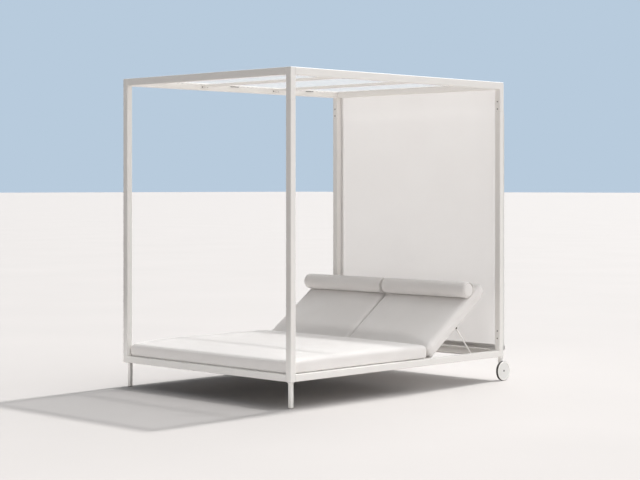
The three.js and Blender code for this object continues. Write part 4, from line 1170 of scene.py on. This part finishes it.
# %% Stitches and tab
STITCHES = 54
STITCH = 3.2 * MM
THREAD_SHAPE = ((-0.5, 0.25 * MM), (-0.3, 0.65 * MM), (0.3, 0.65 * MM), (0.5, 0.25 * MM))
TAB_WIDTH = 16 * MM
TAB = 1.4 * MM
stitches = Build()
for along in (INNER_END * CAP_STITCH[1] * MM, bolster_length - CAP_STITCH[1] * MM):
    for turn in whole(STITCHES):
        spot = bolster_spot(CAP_STITCH[0], along, turn)
        around = Vector((0, -math.sin(turn), math.cos(turn)))
        out = Vector((0, math.cos(turn), math.sin(turn)))
        stitches.add([[spot + around * (share * STITCH) + (out * math.cos(t) + Vector((math.sin(t), 0, 0))) * radius
                       for t in whole(6)] for share, radius in THREAD_SHAPE])
stitching = stitches.piece("bolster_stitches_right")
tab_x = bolster_high.x + BOLSTER_SPARE - TAB_WIDTH
pad_skin = pad_base + pad_thick + PAD_CROWN
tab_path = [(bolster_y + bolster_radius * math.cos(t), bolster_z + bolster_radius * math.sin(t))
            for t in [math.radians(30 - 12 * i) for i in range(7)]]
tab_y = tab_path[-1][0]
tab_path += [(tab_y + 12 * MM, pad_skin), (tab_y + 34 * MM, pad_skin - 1 * MM)]
tab = Build().add([ring(section(TAB, TAB_WIDTH, 0.5 * MM), "y", y, Vector((tab_x, 0, z))) for y, z in tab_path])
tab = tab.piece("bolster_tab_right", crease=60)
print("stitches:", 2 * STITCHES, "on each bolster")

# %% Both sides
def mirrored(piece, name):
    """A copy on the other side of the middle plane, with its faces turned to point out again."""
    mesh = piece.data.copy()
    mesh.transform(Matrix.Scale(-1, 4, (1, 0, 0)))
    mesh.flip_normals()
    copy = bpy.data.objects.new(name, mesh)
    bpy.context.scene.collection.objects.link(copy)
    return copy


PAD_LEAN = {"left": 22 * MM, "right": 6 * MM}
PAD_SPARE = {"left": 18 * MM, "right": 0}
BOLSTER_SHIFT = {"left": 14 * MM, "right": 10 * MM}
RIM_ZONE = (20 * MM, 48 * MM)
RIM_RAISE = 0.65
SPLIT_STEP = 2 * MM


def leaned(piece, side):
    """Cushions are never quite straight: the split leans to the left and opens towards the top, the left pad
    lies further out, and the right pad's inner edge is the tighter one."""
    left = side == "left"
    outer = PAD_CORNERS[0][0]
    rim_z = pad_thick - PAD_RIM

    def lean(point, normal):
        across, up = abs(point.x), min(max(point.y / pad_top, 0), 1)
        inner = 1 - eased(across, *RIM_ZONE)
        tight = eased(across, outer - RIM_ZONE[1], outer - RIM_ZONE[0]) if left else inner
        fall = pad_thick - point.z if point.z > rim_z else PAD_RIM * point.z / rim_z
        step = (-SPLIT_STEP if left else SPLIT_STEP) * (1 - eased(across, 0, 0.3)) * point.z / pad_thick
        closed = DRAW_IN * math.sin(math.pi * up) * inner
        sideways = -PAD_LEAN[side] * up * max(0, 1 - across / outer) - PAD_SPARE[side] * across / outer
        return Vector((sideways + (closed if left else -closed), 0, RIM_RAISE * max(0, fall) * tight + step))
    return reshaped(piece, lean)


for side in SIDES:
    lying = Matrix.Translation((0, 0, pad_base))
    shifted = Matrix.Translation((-BOLSTER_SHIFT[side], 0, 0))
    for made, place, material, nodes, fill in (
            (pad, lying, cover, [f"back_pad_{side}"], 0.85), (bolster, shifted, cover, [f"bolster_{side}"], 0.9),
            (stitching, shifted, thread, [], None), (tab, shifted, cover, [], None)):
        part = made if side == "right" else mirrored(made, made.name.replace("right", side))
        if made is pad:
            leaned(part, side)
        part.matrix_world = BACK_TURN @ place
        dress(part, material, f"back_{side}", *nodes)
print("cushions on both sides")

# %% [markdown]
# ## Props
# Each prop is one length of round rod, bent to a wide U. A rod that bends is a circle swept along a path with
# arcs at its corners.


# %% Prop bails
def bent_path(corners, radii, arc=8):
    """A path through corners, rounded by a radius at each inner one."""
    path = [corners[0]]
    for before, corner, after, radius in zip(corners, corners[1:], corners[2:], radii):
        back, ahead = (before - corner).normalized(), (after - corner).normalized()
        centre = corner + (back + ahead) * radius
        path += [centre - ahead * radius * math.cos(t) - back * radius * math.sin(t) for t in quarter(arc)]
    return path + [corners[-1]]


def swept(path, radius, side, count=20):
    """Rings of a round rod that stays in one plane, whose normal is side."""
    rings = []
    for i, point in enumerate(path):
        ahead = path[min(i + 1, len(path) - 1)] - path[max(i - 1, 0)]
        out = ahead.normalized().cross(side)
        rings.append([point + (out * math.cos(t) + side * math.sin(t)) * radius for t in whole(count)])
    return rings


BAIL_ROD = 5 * MM
BAIL_LENGTH = 268 * MM
BAIL_PIN = 20 * MM
PIVOT_CAP = 8.5 * MM
BAIL_FALL = math.radians(48.795)
BAIL_BENDS = (8 * MM, 15 * MM, 15 * MM, 8 * MM)
for side, sx in SIDES.items():
    pivot = Vector(next(j for j in frame["joints"] if j["name"] == f"bail_{side}_fold")["pos_m"])
    reach = Vector((0, math.cos(BAIL_FALL), -math.sin(BAIL_FALL))) * BAIL_LENGTH
    start = Vector((0, pivot.y, pivot.z))
    low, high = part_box(f"prop_bail_{side}")
    arms = sorted((low.x + BAIL_ROD, high.x - BAIL_ROD), key=abs)
    near, far = [Vector((x, 0, 0)) for x in arms]
    turned_in = Vector((sx * BAIL_PIN, 0, 0))
    corners = [start + near + turned_in, start + near, start + near + reach, start + far + reach, start + far,
               start + far - turned_in]
    path = bent_path(corners, BAIL_BENDS)
    plane = Vector((0, math.sin(BAIL_FALL), math.cos(BAIL_FALL)))
    rod = Build().add(swept(path, BAIL_ROD, plane)).piece(f"bent_prop_{side}", crease=50)
    dress(rod, coat, f"bail_{side}", f"prop_bail_{side}")
    caps = Build()
    for x in (near.x - sx * BAIL_ROD, far.x + sx * BAIL_ROD):
        out = sx if abs(x) > abs(near.x) else -sx
        caps.add(head_rings(Vector((x, pivot.y, pivot.z)), "x", out, PIVOT_CAP, 3 * MM))
    dress(caps.piece(f"prop_pivots_{side}"), steel, f"bail_{side}")
print("props:", 2)

# %% [markdown]
# ## What stays as it is
# The deck, the centre rail, the racks, the back frames and the hinge rod have the right shape already. A narrow
# bevel breaks the edges of all but the rod, and they get the frame's finish; the rod gets zinc and smooth shading.

# %% Carried-over solids
for node in ("seat_deck", "centre_rail", "rack_left", "rack_right", "back_frame_left", "back_frame_right"):
    solid = frame["nodes"][node]
    solid.data.materials.clear()
    solid.data.materials.append(coat)
    bevel = solid.modifiers.new("edge", "BEVEL")
    bevel.width = 0.6 * MM
    bevel.segments = 2
    bevel.limit_method = "ANGLE"
    bevel.angle_limit = math.radians(50)
rod = frame["nodes"]["hinge_rod"]
rod.data.materials.clear()
rod.data.materials.append(zinc)
rod.data.shade_smooth()
rod.data.set_sharp_from_angle(angle=math.radians(40))
print("carried over:", 7)

# %% [markdown]
# ## Floor and light
# A pale floor, a high key lamp and a broad one beyond the head end, whose light comes partly through the cloth, a
# broad lamp on the right, a low strip of light in front that the camera doesn't see, and an even sky. The sky that
# the camera sees is pale and plain, and lights nothing.


# %% Floor
def floor_finish():
    paint = Paint("pale_floor")
    cloud = paint.noise(1.7, detail=4)
    grit = paint.noise(12 * MM, detail=4)
    colour = paint.mix(cloud * 0.6 + grit * 0.4, tone(173, 169, 166), tone(184, 179, 176))
    return paint.finish(colour, 0.8, grit, 0.4 * MM)


FLOOR = 300.0
floor = mesh_piece("floor", [(x * FLOOR, y * FLOOR, 0) for x, y in ((-1, -1), (1, -1), (1, 1), (-1, 1))],
                   [(0, 1, 2, 3)])
floor.data.materials.append(floor_finish())
print("floor:", 2 * FLOOR, "m wide")

# %% Light
def lamp(name, kind, energy, towards, **settings):
    """A lamp that shines from the direction towards, given as a vector to the lamp."""
    light = bpy.data.lights.new(name, kind)
    light.energy = energy
    for key, value in settings.items():
        setattr(light, key, value)
    made = bpy.data.objects.new(name, light)
    bpy.context.scene.collection.objects.link(made)
    made.rotation_euler = Vector(towards).to_track_quat("Z", "Y").to_euler()
    return made


BROAD = math.radians(70)
lamp("key_lamp", "SUN", 3.0, (-0.03, 0.49, 0.87), angle=math.radians(3))
lamp("broad_lamp", "SUN", 2.6, (0.05, 0.6, 0.78), angle=BROAD)
lamp("top_lamp", "SUN", 0.4, (0.0, 0.0, 1.0), angle=BROAD)
lamp("right_lamp", "SUN", 0.95, (0.87, 0.1, 0.48), angle=BROAD)
low_strip = lamp("low_strip", "AREA", 3.0, (0.2, -1, 0), shape="RECTANGLE", size=5.0, size_y=0.2,
                 spread=math.radians(13))
low_strip.location = (0.6, -6.1, 0.12)
low_strip.visible_camera = False

world = bpy.data.worlds.new("sky")
bpy.context.scene.world = world
world.use_nodes = True
sky = Nodes(world.node_tree)
sky.tree.nodes.remove(sky.tree.nodes["Background"])
even = sky.node("ShaderNodeBackground", {}, (0.93, 0.96, 1.0, 1), 0.06)
seen = sky.node("ShaderNodeBackground", {}, tone(184, 203, 221), 1.0)
rays = [sky.node("ShaderNodeLightPath", {}, out=kind) for kind in ("Is Camera Ray", "Is Glossy Ray")]
either = sky.node("ShaderNodeMath", {"operation": "MAXIMUM"}, *rays)
both = sky.node("ShaderNodeMixShader", {}, either, even, seen)
sky.feed(both, sky.tree.nodes["World Output"].inputs["Surface"])
bpy.context.scene.view_settings.view_transform = "Standard"
print("lamps: 5, sky on")
